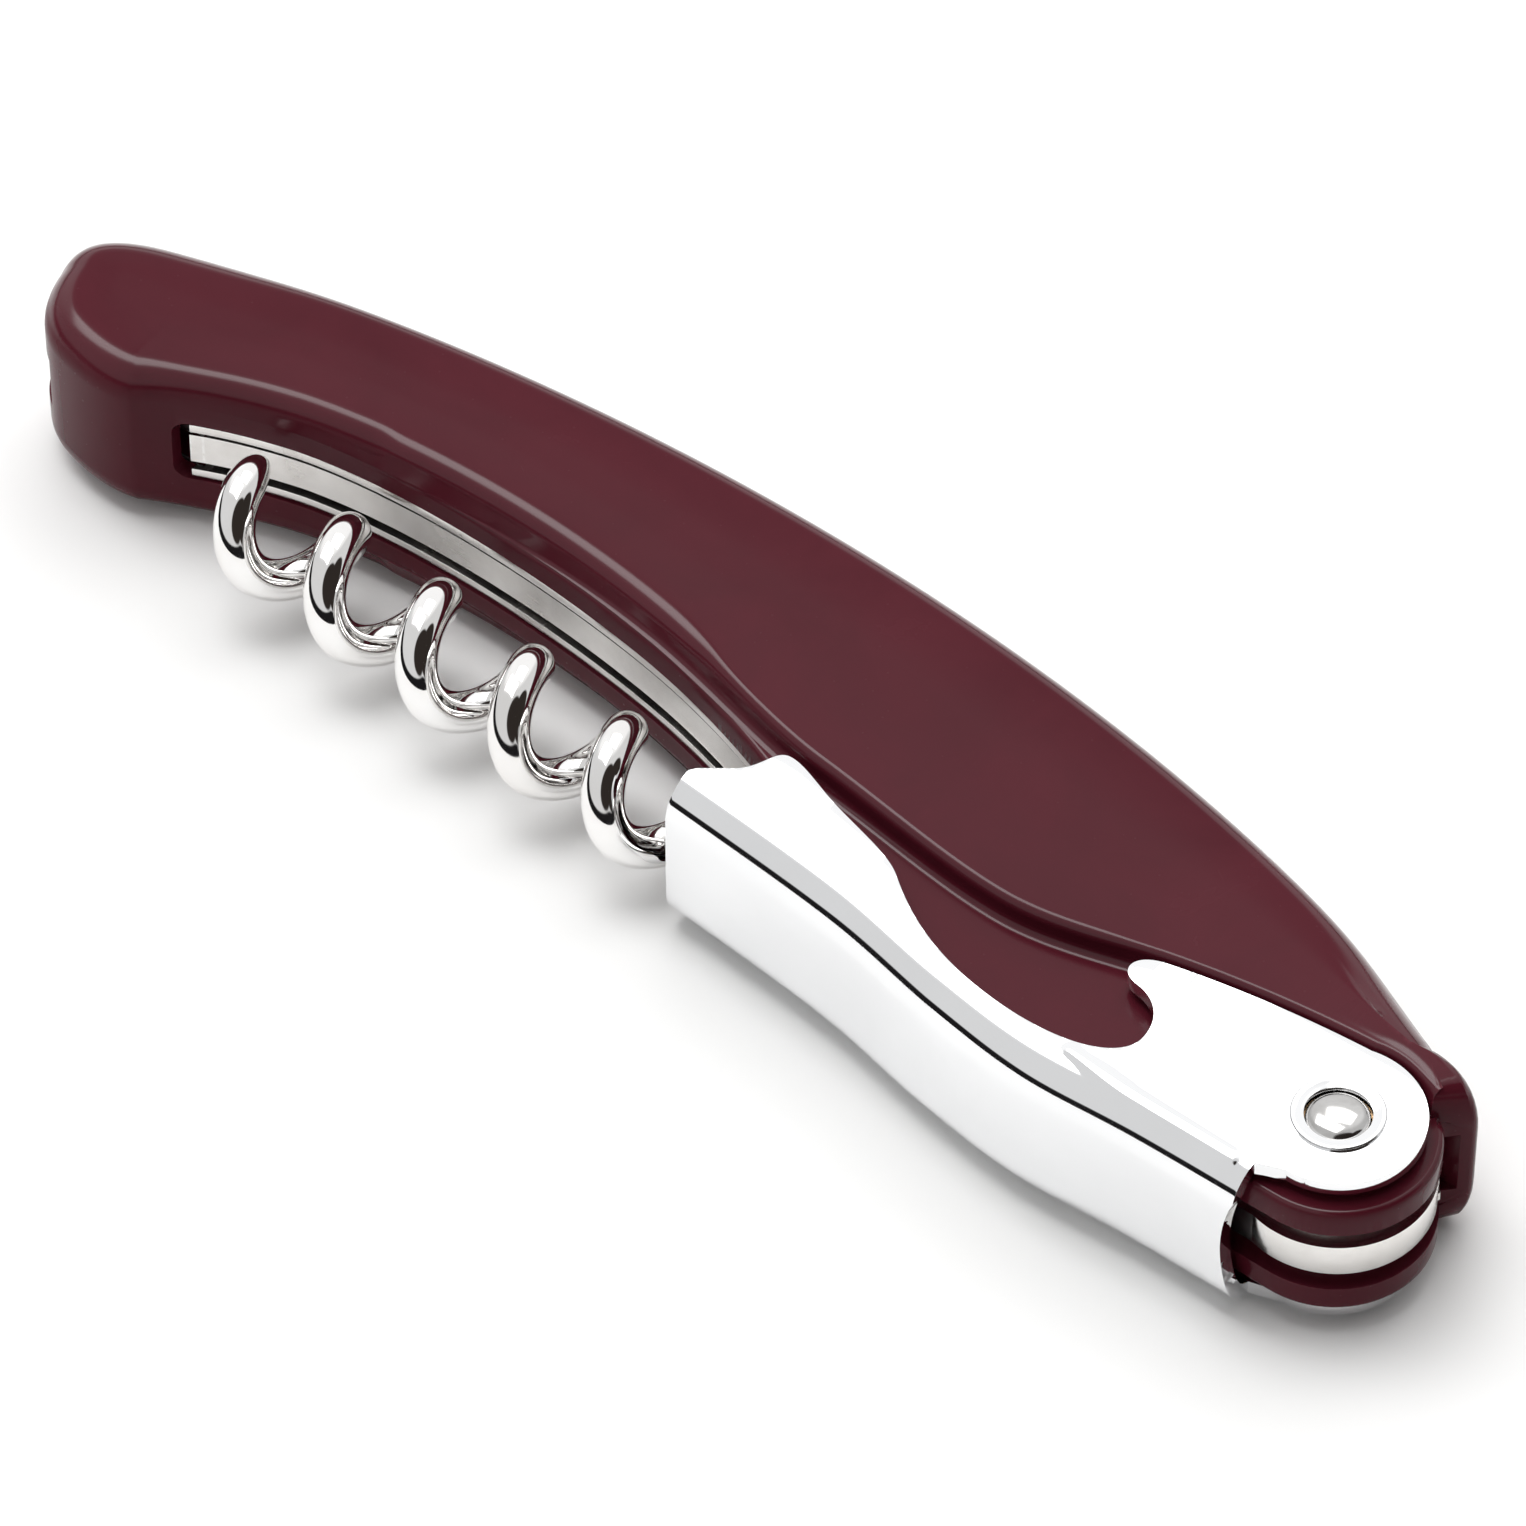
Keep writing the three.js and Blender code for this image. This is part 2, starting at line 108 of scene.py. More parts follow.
def onCircle(radius, degrees):
    angle = math.radians(degrees)
    return radius * math.cos(angle), radius * math.sin(angle)


# steps: ("line", point), ("curve", c1, c2, end) or ("arc", centre, radius, from, to)
def tracePath(start, steps, spacing=0.5):
    points = [np.array(start, float)[None]]
    for kind, *rest in steps:
        last = points[-1][-1]
        if kind == "line":
            end = np.array(rest[0], float)
            count = max(1, round(np.linalg.norm(end - last) / (spacing * 4)))
            points.append(last + (end - last) * np.linspace(0, 1, count + 1)[1:, None])
        elif kind == "curve":
            c1, c2, end = (np.array(p, float) for p in rest)
            reach = np.linalg.norm(c1 - last) + np.linalg.norm(c2 - c1) + np.linalg.norm(end - c2)
            points.append(curvePoints(last, c1, c2, end, max(4, round(reach / spacing))))
        else:
            centre, radius, a0, a1 = rest
            count = max(6, round(abs(math.radians(a1 - a0)) * radius / spacing))
            angles = np.radians(np.linspace(a0, a1, count + 1)[1:])
            arc = np.stack([np.cos(angles), np.sin(angles)], 1) * radius + np.array(centre)
            points.append(arc)
    return np.concatenate(points)


def resample(points, count):
    steps = np.linalg.norm(np.diff(points, axis=0), axis=1)
    along = np.concatenate([[0], np.cumsum(steps)])
    at = np.linspace(0, along[-1], count)
    return np.stack([np.interp(at, along, points[:, k]) for k in range(points.shape[1])], 1)


def outwardNormals(loop):
    ahead = np.roll(loop, -1, 0) - np.roll(loop, 1, 0)
    ahead /= np.linalg.norm(ahead, axis=1)[:, None] + 1e-12
    normals = np.stack([ahead[:, 1], -ahead[:, 0]], 1)
    area = np.sum(loop[:, 0] * np.roll(loop[:, 1], -1) - np.roll(loop[:, 0], -1) * loop[:, 1])
    return normals if area > 0 else -normals


# Each round blends every value of a closed row with its two neighbours.
def smoothRow(values, rounds):
    for _ in range(rounds):
        values = values * 0.5 + (np.roll(values, 1) + np.roll(values, -1)) * 0.25
    return values


def ease(x, low, high):
    t = np.clip((x - low) / (high - low), 0, 1)
    return t * t * (3 - 2 * t)


def makeMesh(name, points, faces):
    mesh = bpy.data.meshes.new(name)
    mesh.from_pydata([tuple(map(float, p)) for p in points], [], faces)
    work = bmesh.new()
    work.from_mesh(mesh)
    bmesh.ops.remove_doubles(work, verts=work.verts, dist=1e-5)
    bmesh.ops.recalc_face_normals(work, faces=work.faces)
    work.to_mesh(mesh)
    work.free()
    made = bpy.data.objects.new(name, mesh)
    scene.collection.objects.link(made)
    return made


def ringFaces(rings, count):
    faces = []
    for r in range(rings - 1):
        for i in range(count):
            j = (i + 1) % count
            faces.append((r * count + i, r * count + j, (r + 1) * count + j, (r + 1) * count + i))
    return faces


# Rings of equal count joined into one closed body, with a cap at each end.
def loft(name, points, count):
    rings = len(points) // count
    faces = ringFaces(rings, count)
    faces.append(tuple(range(count)))
    faces.append(tuple(range((rings - 1) * count, rings * count)))
    return makeMesh(name, points, faces)


def prism(name, outline, low, high):
    return loft(name, [(x, y, z) for z in (low, high) for x, y in outline], len(outline))


# A closed turned body from (radius, z) pairs, running from one end of the axis to the other or round a hole.
def turned(name, profile, centre, sides=96, hole=False):
    angles = np.linspace(0, 2 * math.pi, sides, endpoint=False)
    points = [
        (centre[0] + r * math.cos(a), centre[1] + r * math.sin(a), z)
        for r, z in profile for a in angles
    ]
    if not hole:
        return loft(name, points, sides)
    last = (len(profile) - 1) * sides
    faces = ringFaces(len(profile), sides)
    faces += [(last + i, last + (i + 1) % sides, (i + 1) % sides, i) for i in range(sides)]
    return makeMesh(name, points, faces)


def combine(piece, tool, operation):
    change = piece.modifiers.new("combine", "BOOLEAN")
    change.operation = operation
    change.solver = "MANIFOLD"
    change.object = tool
    settle(piece)
    bpy.data.objects.remove(tool)
    return piece


def settle(piece):
    bpy.context.view_layer.update()
    graph = bpy.context.evaluated_depsgraph_get()
    mesh = bpy.data.meshes.new_from_object(piece.evaluated_get(graph))
    piece.modifiers.clear()
    piece.data = mesh
    return piece


# Breaks the sharp edges as a press tool or a tumbler does.
def breakEdges(piece, width, corner=38, segments=3):
    soft = piece.modifiers.new("edges", "BEVEL")
    soft.width = width
    soft.segments = segments
    soft.limit_method = "ANGLE"
    soft.angle_limit = math.radians(corner)
    soft.use_clamp_overlap = True
    soft.miter_outer = "MITER_ARC"
    return settle(piece)


def tidyMesh(piece, dist=0.004):
    work = bmesh.new()
    work.from_mesh(piece.data)
    bmesh.ops.remove_doubles(work, verts=work.verts, dist=dist)
    bmesh.ops.dissolve_degenerate(work, edges=work.edges, dist=dist)
    work.to_mesh(piece.data)
    work.free()
    return piece


def finishPiece(piece, material, body, replaces, corner=32):
    piece.data.transform(toFrame)
    for face in piece.data.polygons:
        face.use_smooth = True
    piece.data.set_sharp_from_angle(angle=math.radians(corner))
    even = piece.modifiers.new("shading", "WEIGHTED_NORMAL")
    even.keep_sharp = True
    even.weight = 50
    piece.data.materials.clear()
    piece.data.materials.append(material)
    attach(piece, body)
    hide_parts(*replaces)
    return piece


def newGroup(name, inputs, outputs):
    group = bpy.data.node_groups.new(name, "ShaderNodeTree")
    for label, value in inputs:
        socket = group.interface.new_socket(name=label, in_out="INPUT", socket_type="NodeSocketFloat")
        socket.default_value = value
    for label, kind in outputs:
        group.interface.new_socket(name=label, in_out="OUTPUT", socket_type=kind)
    return group, group.nodes.new("NodeGroupInput"), group.nodes.new("NodeGroupOutput")


def addNode(tree, kind, settings=None, **values):
    node = tree.nodes.new(kind)
    for key, value in (settings or {}).items():
        setattr(node, key, value)
    for key, value in values.items():
        name = key.replace("_", " ")
        target = node.inputs[int(name)] if name.isdigit() else node.inputs[name]
        if isinstance(value, bpy.types.NodeSocket):
            tree.links.new(value, target)
        else:
            target.default_value = value
    return node


def maths(tree, operation, a, b=0.0):
    node = tree.nodes.new("ShaderNodeMath")
    node.operation = operation
    for socket, value in ((node.inputs[0], a), (node.inputs[1], b)):
        if isinstance(value, bpy.types.NodeSocket):
            tree.links.new(value, socket)
        else:
            socket.default_value = value
    return node.outputs[0]


def remap(tree, value, low, high, toLow=0.0, toHigh=1.0):
    node = addNode(tree, "ShaderNodeMapRange", {"interpolation_type": "SMOOTHSTEP"})
    tree.links.new(value, node.inputs["Value"])
    for label, number in (("From Min", low), ("From Max", high), ("To Min", toLow), ("To Max", toHigh)):
        if isinstance(number, bpy.types.NodeSocket):
            tree.links.new(number, node.inputs[label])
        else:
            node.inputs[label].default_value = number
    return node.outputs["Result"]


# Rubbed corners: 1 where the surface turns within the given width.
def buildEdgeRub():
    group, given, out = newGroup(
        "edgeRub",
        [("Width", 0.0003), ("Low", 0.01), ("High", 0.12), ("Breakup Scale", 900.0)],
        [("Mask", "NodeSocketFloat")],
    )
    bevel = addNode(group, "ShaderNodeBevel", {"samples": 4})
    group.links.new(given.outputs["Width"], bevel.inputs["Radius"])
    flat = addNode(group, "ShaderNodeNewGeometry")
    dot = addNode(group, "ShaderNodeVectorMath", {"operation": "DOT_PRODUCT"})
    group.links.new(bevel.outputs["Normal"], dot.inputs[0])
    group.links.new(flat.outputs["Normal"], dot.inputs[1])
    turn = maths(group, "SUBTRACT", 1.0, dot.outputs["Value"])
    edge = remap(group, turn, given.outputs["Low"], given.outputs["High"])
    place = addNode(group, "ShaderNodeTexCoord")
    noise = addNode(group, "ShaderNodeTexNoise", Vector=place.outputs["Object"],
                    Scale=given.outputs["Breakup Scale"], Detail=4.0, Roughness=0.6)
    patchy = remap(group, noise.outputs["Fac"], 0.35, 0.62)
    group.links.new(maths(group, "MULTIPLY", edge, patchy), out.inputs["Mask"])
    return group


# Fine hairline scratches laid in two directions, as height and as a mask.
def buildHairlines():
    group, given, out = newGroup(
        "hairlines",
        [("Scale", 1.0), ("Length", 14.0), ("Turn", 0.4), ("Cover", 0.5)],
        [("Mask", "NodeSocketFloat"), ("Height", "NodeSocketFloat")],
    )
    place = addNode(group, "ShaderNodeTexCoord")
    total = None
    for k, side in enumerate((1.0, -1.0)):
        angle = maths(group, "MULTIPLY", given.outputs["Turn"], side)
        spin = addNode(group, "ShaderNodeVectorRotate", {"rotation_type": "Z_AXIS"},
                       Vector=place.outputs["Object"], Angle=angle)
        apart = addNode(group, "ShaderNodeSeparateXYZ", Vector=spin.outputs["Vector"])
        short = maths(group, "DIVIDE", apart.outputs["X"], given.outputs["Length"])
        joined = addNode(group, "ShaderNodeCombineXYZ", X=short, Y=apart.outputs["Y"], Z=apart.outputs["Z"])
        size = maths(group, "MULTIPLY", given.outputs["Scale"], 2600.0 + 900.0 * k)
        noise = addNode(group, "ShaderNodeTexNoise", Vector=joined.outputs["Vector"], Scale=size,
                        Detail=3.0, Roughness=0.55)
        limit = remap(group, given.outputs["Cover"], 0.0, 1.0, 0.75, 0.5)
        lines = remap(group, noise.outputs["Fac"], limit, maths(group, "ADD", limit, 0.12))
        total = lines if total is None else maths(group, "MAXIMUM", total, lines)
    group.links.new(total, out.inputs["Mask"])
    group.links.new(maths(group, "MULTIPLY", total, -1.0), out.inputs["Height"])
    return group


# Straight grinding grain along one axis of the piece.
def buildGrain():
    group, given, out = newGroup(
        "groundGrain",
        [("Scale", 1.0), ("Run", 30.0), ("Angle", 0.0)],
        [("Value", "NodeSocketFloat")],
    )
    place = addNode(group, "ShaderNodeTexCoord")
    spin = addNode(group, "ShaderNodeVectorRotate", {"rotation_type": "Z_AXIS"},
                   Vector=place.outputs["Object"], Angle=given.outputs["Angle"])
    apart = addNode(group, "ShaderNodeSeparateXYZ", Vector=spin.outputs["Vector"])
    long = maths(group, "DIVIDE", apart.outputs["X"], given.outputs["Run"])
    joined = addNode(group, "ShaderNodeCombineXYZ", X=long, Y=apart.outputs["Y"], Z=apart.outputs["Z"])
    size = maths(group, "MULTIPLY", given.outputs["Scale"], 5200.0)
    noise = addNode(group, "ShaderNodeTexNoise", Vector=joined.outputs["Vector"], Scale=size,
                    Detail=5.0, Roughness=0.7)
    group.links.new(noise.outputs["Fac"], out.inputs["Value"])
    return group


# Slow cloudiness: handling film and uneven plating or paint.
def buildCloud():
    group, given, out = newGroup(
        "handlingFilm",
        [("Scale", 120.0), ("Contrast", 0.5)],
        [("Value", "NodeSocketFloat"), ("Specks", "NodeSocketFloat")],
    )
    place = addNode(group, "ShaderNodeTexCoord")
    noise = addNode(group, "ShaderNodeTexNoise", Vector=place.outputs["Object"],
                    Scale=given.outputs["Scale"], Detail=5.0, Roughness=0.6, Distortion=0.4)
    half = maths(group, "MULTIPLY", given.outputs["Contrast"], 0.35)
    low = maths(group, "SUBTRACT", 0.5, half)
    high = maths(group, "ADD", 0.5, half)
    group.links.new(remap(group, noise.outputs["Fac"], low, high), out.inputs["Value"])
    dust = addNode(group, "ShaderNodeTexVoronoi", {"feature": "F1"}, Vector=place.outputs["Object"],
                   Scale=maths(group, "MULTIPLY", given.outputs["Scale"], 9.0), Randomness=1.0)
    group.links.new(remap(group, dust.outputs["Distance"], 0.09, 0.03), out.inputs["Specks"])
    return group


edgeRub = buildEdgeRub()
hairlines = buildHairlines()
groundGrain = buildGrain()
handlingFilm = buildCloud()


def placeGroup(tree, group, **values):
    node = tree.nodes.new("ShaderNodeGroup")
    node.node_tree = group
    for key, value in values.items():
        node.inputs[key.replace("_", " ")].default_value = value
    return node


def mixColours(tree, factor, a, b):
    node = tree.nodes.new("ShaderNodeMix")
    node.data_type = "RGBA"
    node.clamp_factor = True
    sockets = [s for s in node.inputs if s.type == "RGBA"]
    if isinstance(factor, bpy.types.NodeSocket):
        tree.links.new(factor, node.inputs[0])
    else:
        node.inputs[0].default_value = factor
    for socket, value in zip(sockets, (a, b)):
        if isinstance(value, bpy.types.NodeSocket):
            tree.links.new(value, socket)
        else:
            socket.default_value = (*value, 1)
    return next(s for s in node.outputs if s.type == "RGBA")


def newMaterial(name):
    material = bpy.data.materials.new(name)
    material.use_nodes = True
    tree = material.node_tree
    return material, tree, tree.nodes["Principled BSDF"]


# The burgundy enamel, and under it every bare metal.
paintFinish = {
    "deep": (0.064, 0.0070, 0.0135),
    "light": (0.080, 0.0092, 0.0170),
    # lighter pink for the rims: partly edge wear, partly a painted highlight along the crease and rims
    "edgeWearAndHighlight": (0.150, 0.030, 0.045),
    "roughness": (0.20, 0.28),
    "peelScale": 700.0,
}


def makePaint():
    material, tree, shader = newMaterial("burgundyEnamel")
    film = placeGroup(tree, handlingFilm, Scale=90.0, Contrast=0.9)
    rub = placeGroup(tree, edgeRub, Width=0.00035, Low=0.02, High=0.25, Breakup_Scale=1400.0)
    marks = placeGroup(tree, hairlines, Scale=0.8, Length=22.0, Turn=0.55, Cover=0.22)
    body = mixColours(tree, film.outputs["Value"], paintFinish["deep"], paintFinish["light"])
    # the rims are lightened towards pink: partly wear, partly a painted highlight
    wearAndHighlightMask = maths(tree, "MULTIPLY", rub.outputs["Mask"], 0.35)
    colour = mixColours(tree, wearAndHighlightMask, body, paintFinish["edgeWearAndHighlight"])
    tree.links.new(colour, shader.inputs["Base Color"])
    low, high = paintFinish["roughness"]
    rough = remap(tree, film.outputs["Value"], 0.0, 1.0, low, high)
    rough = maths(tree, "ADD", rough, maths(tree, "MULTIPLY", marks.outputs["Mask"], 0.05))
    rough = maths(tree, "ADD", rough, maths(tree, "MULTIPLY", film.outputs["Specks"], 0.12))
    tree.links.new(rough, shader.inputs["Roughness"])
    place = addNode(tree, "ShaderNodeTexCoord")
    peel = addNode(tree, "ShaderNodeTexNoise", Vector=place.outputs["Object"],
                   Scale=paintFinish["peelScale"], Detail=2.0, Roughness=0.4)
    height = maths(tree, "ADD", maths(tree, "MULTIPLY", peel.outputs["Fac"], 0.5),
                   maths(tree, "MULTIPLY", marks.outputs["Height"], 0.05))
    bump = addNode(tree, "ShaderNodeBump", Strength=0.06, Distance=0.00012, Height=height)
    tree.links.new(bump.outputs["Normal"], shader.inputs["Normal"])
    shader.inputs["Specular IOR Level"].default_value = 0.06
    # hands have polished the rounded rims, and left the flats and walls duller
    facing = addNode(tree, "ShaderNodeSeparateXYZ", Vector=place.outputs["Normal"])
    upright = maths(tree, "ABSOLUTE", facing.outputs["Z"])
    rim = maths(tree, "MULTIPLY", remap(tree, upright, 0.993, 0.965), remap(tree, upright, 0.35, 0.65))
    tree.links.new(remap(tree, rim, 0.0, 1.0, 0.13, 0.95), shader.inputs["Coat Weight"])
    shader.inputs["Coat Roughness"].default_value = 0.16
    shader.inputs["Coat IOR"].default_value = 1.35
    return material


metalFinishes = {
    "brightChrome": {
        "clean": (0.93, 0.935, 0.945), "film": (0.885, 0.89, 0.90), "rub": (0.97, 0.97, 0.975),
        "roughness": (0.030, 0.075), "cloud": 70.0, "hair": 0.18, "bump": 0.03, "grain": 0.0,
    },
    "wormChrome": {
        "clean": (0.92, 0.915, 0.91), "film": (0.86, 0.845, 0.83), "rub": (0.95, 0.95, 0.95),
        "roughness": (0.025, 0.070), "cloud": 160.0, "hair": 0.14, "bump": 0.03, "grain": 0.0,
    },
    "frameSteel": {
        "clean": (0.86, 0.845, 0.825), "film": (0.66, 0.635, 0.61), "rub": (0.95, 0.945, 0.94),
        "roughness": (0.12, 0.26), "cloud": 140.0, "hair": 0.3, "bump": 0.12, "grain": 0.4,
    },
    "bladeSteel": {
        "clean": (0.78, 0.78, 0.785), "film": (0.68, 0.68, 0.685), "rub": (0.92, 0.92, 0.92),
        "roughness": (0.16, 0.30), "cloud": 150.0, "hair": 0.3, "bump": 0.14, "grain": 0.6,
    },
    "rivetSteel": {
        "clean": (0.66, 0.655, 0.65), "film": (0.50, 0.49, 0.48), "rub": (0.90, 0.90, 0.90),
        "roughness": (0.07, 0.14), "cloud": 420.0, "hair": 0.25, "bump": 0.06, "grain": 0.1,
    },
    "washerBronze": {
        "clean": (0.70, 0.47, 0.26), "film": (0.42, 0.27, 0.15), "rub": (0.85, 0.63, 0.38),
        "roughness": (0.24, 0.42), "cloud": 380.0, "hair": 0.4, "bump": 0.16, "grain": 0.3,
    },
}


def makeMetal(name):
    look = metalFinishes[name]
    material, tree, shader = newMaterial(name)
    film = placeGroup(tree, handlingFilm, Scale=look["cloud"], Contrast=0.8)
    rub = placeGroup(tree, edgeRub, Width=0.0002, Low=0.02, High=0.2, Breakup_Scale=2200.0)
    marks = placeGroup(tree, hairlines, Scale=1.0, Length=18.0, Turn=0.35, Cover=look["hair"])
    grain = placeGroup(tree, groundGrain, Scale=1.0, Run=26.0, Angle=0.0)
    body = mixColours(tree, film.outputs["Value"], look["clean"], look["film"])
    lines = maths(tree, "MULTIPLY", grain.outputs["Value"], look["grain"] * 0.35)
    body = mixColours(tree, lines, body, look["film"])
    colour = mixColours(tree, rub.outputs["Mask"], body, look["rub"])
    tree.links.new(colour, shader.inputs["Base Color"])
    low, high = look["roughness"]
    rough = remap(tree, film.outputs["Value"], 0.0, 1.0, low, high)
    rough = maths(tree, "ADD", rough, maths(tree, "MULTIPLY", marks.outputs["Mask"], 0.05))
    rough = maths(tree, "ADD", rough, maths(tree, "MULTIPLY", grain.outputs["Value"], look["grain"] * 0.14))
    tree.links.new(rough, shader.inputs["Roughness"])
    height = maths(tree, "ADD", maths(tree, "MULTIPLY", grain.outputs["Value"], look["grain"]),
                   maths(tree, "MULTIPLY", marks.outputs["Height"], 0.4))
    bump = addNode(tree, "ShaderNodeBump", Strength=look["bump"], Distance=0.00004, Height=height)
    tree.links.new(bump.outputs["Normal"], shader.inputs["Normal"])
    shader.inputs["Metallic"].default_value = 1.0
    return material


paint = makePaint()
metals = {name: makeMetal(name) for name in metalFinishes}
print("materials made")


# The handle: two main faces, a ledge beside the lever, and two round cheeks at the pivot.
handle = {
    "halfThickness": nodeSize("handle_shell").z / 2,
    "shelf": 4.9,             # height of the ledge that the lever's cheeks lie on
    "crown": 0.16,            # the main faces' fall from middle to rim
    "backRadius": 2.0,        # edge radius along the back
    "noseRadius": 2.6,        # and round the left end
    "creaseRadius": 1.9,     # along the front step
    "waveRadius": 0.8,        # where the step turns in beside the lever
    "heelRadius": 3.2,        # inward reach of the heel's rounding
    "heelDrop": 5.8,          # and its height
    "ledgeRadius": 0.45,
    "coveRadius": 0.7,        # hollow radius at the foot of the step
    "discRadius": 7.0,
    "recessRadius": 6.25,
    "heelAngle": 50,
    "slotHalf": 2.75,
    "slotStart": -103.0,
    "slotCorner": 1.15,
    "endWall": 1.4,           # the wall left between the front slot's end and the hollow
    "noseCorner": 1.7,
    "chin": 3.1,              # the end opening stops this far in front of the pivot's line
    "lip": 0.28,
}

# The back, from the heel's step round the left end to the chin.
backSteps = [
    ("curve", (6.3, 7.6), (5.6, 8.5), (3.0, 9.3)),
    ("curve", (-36, 25.5), (-85, 22), (-112, 13)),
    ("curve", (-116.2, 11.6), (-118.2, 9.4), (-116.9, 6.4)),
    ("curve", (-116.3, 3.9), (-114.9, 1.7), (-112.2, 0.9)),
    ("curve", (-110.2, 0.3), (-107.4, -0.1), (-105.4, 0.7)),
]

# The front in matching stretches: the core's edge, and the foot of the step on the main face.
sweep = handle["recessRadius"] - 5.9
frontPairs = [
    (34,
     (-105.4, 0.7), [("curve", (-102.5, 2.8), (-98, 4.6), (-94, 5.6))],
     (-105.4, 0.7), [("curve", (-102.5, 2.8), (-98, 4.7), (-94, 5.75))]),
    (60,
     (-94, 5.6), [("curve", (-86, 7.4), (-74, 7.2), (-63.5, 5.6))],
     (-94, 5.75), [("curve", (-86, 7.7), (-74, 8.3), (-62, 6.2))]),
    (64,
     (-63.5, 5.6), [("curve", (-50, 3.5), (-41, -2.2), (-33, -5.2))],
     (-62, 6.2), [("curve", (-56, 5.1), (-51, 3.3), (-46, 2.7)),
                  ("curve", (-40, 2.1), (-34, 0.9), (-29, 0.9))]),
    (36,
     (-33, -5.2), [("curve", (-29, -6.7), (-24, -7.6), (-18, -7.6))],
     (-29, 0.9), [("curve", (-25, 0.9), (-21.5, 2.3), (-17.2, 3.2 + sweep))]),
    (50,
     (-18, -7.6), [("curve", (-12, -7.6), (-6, -7), (0, -7)), ("arc", (0, 0), 7.0, -90, 0)],
     (-17.2, 3.2 + sweep), [("curve", (-12.5, 4.4 + sweep), (-7, 5.3 + sweep),
                             onCircle(handle["recessRadius"], 105))]),
    (22,
     (7.0, 0), [("arc", (0, 0), 7.0, 0, handle["heelAngle"])],
     onCircle(handle["recessRadius"], 105),
     [("arc", (0, 0), handle["recessRadius"], 105, handle["heelAngle"])]),
]


def handleOutlines():
    core, face = [], []
    for count, coreStart, coreSteps, faceStart, faceSteps in frontPairs:
        core.append(resample(tracePath(coreStart, coreSteps, 0.1), count + 1)[:-1])
        face.append(resample(tracePath(faceStart, faceSteps, 0.1), count + 1)[:-1])
    coreEnd = onCircle(handle["discRadius"], handle["heelAngle"])
    faceEnd = onCircle(handle["recessRadius"], handle["heelAngle"])
    core.append(resample(np.array([coreEnd, (5.9, 6.9)]), 4)[:-1])
    face.append(resample(np.array([faceEnd, (5.9, 6.9)]), 4)[:-1])
    heel = resample(tracePath((5.9, 6.9), backSteps[:1], 0.05), 14)[:-1]
    back = resample(tracePath((3.0, 9.3), backSteps[1:2], 0.2), 170)[:-1]
    nose = resample(tracePath((-112, 13), backSteps[2:], 0.1), 80)[:-1]
    for part in (heel, back, nose):
        core.append(part)
        face.append(part)
    return np.concatenate(core), np.concatenate(face)


# The middle line of the main face, towards which the crown rises.
def middleLine(x):
    xs = [-113.0, -108.0, -95.0, -80.0, -60.0, -45.0, -30.0, -15.0, -6.0, 1.0, 4.0]
    ys = [7.6, 7.8, 11.2, 13.2, 13.2, 11.6, 9.6, 9.2, 8.6, 7.7, 7.5]
    return np.interp(x, xs, ys)


def edgeRadii(face, core):
    x, y = face[:, 0], face[:, 1]
    count = len(face)
    front = np.arange(count) < sum(p[0] for p in frontPairs) + 3
    radius = np.where(front, handle["creaseRadius"], handle["backRadius"])
    radius = np.where(front & (x > -58), handle["waveRadius"], radius)
    radius = np.where(front & (x > -20), handle["waveRadius"] * 0.7, radius)
    radius = np.where(x < -104, handle["noseRadius"], radius)
    radius = np.where((~front) & (x > -6), handle["heelRadius"], radius)
    radius = np.where(front & (x > 1.0), 0.45, radius)
    drop = np.where((~front) & (x > -3), handle["heelDrop"], radius)
    return smoothRow(radius, 40), smoothRow(drop, 60)


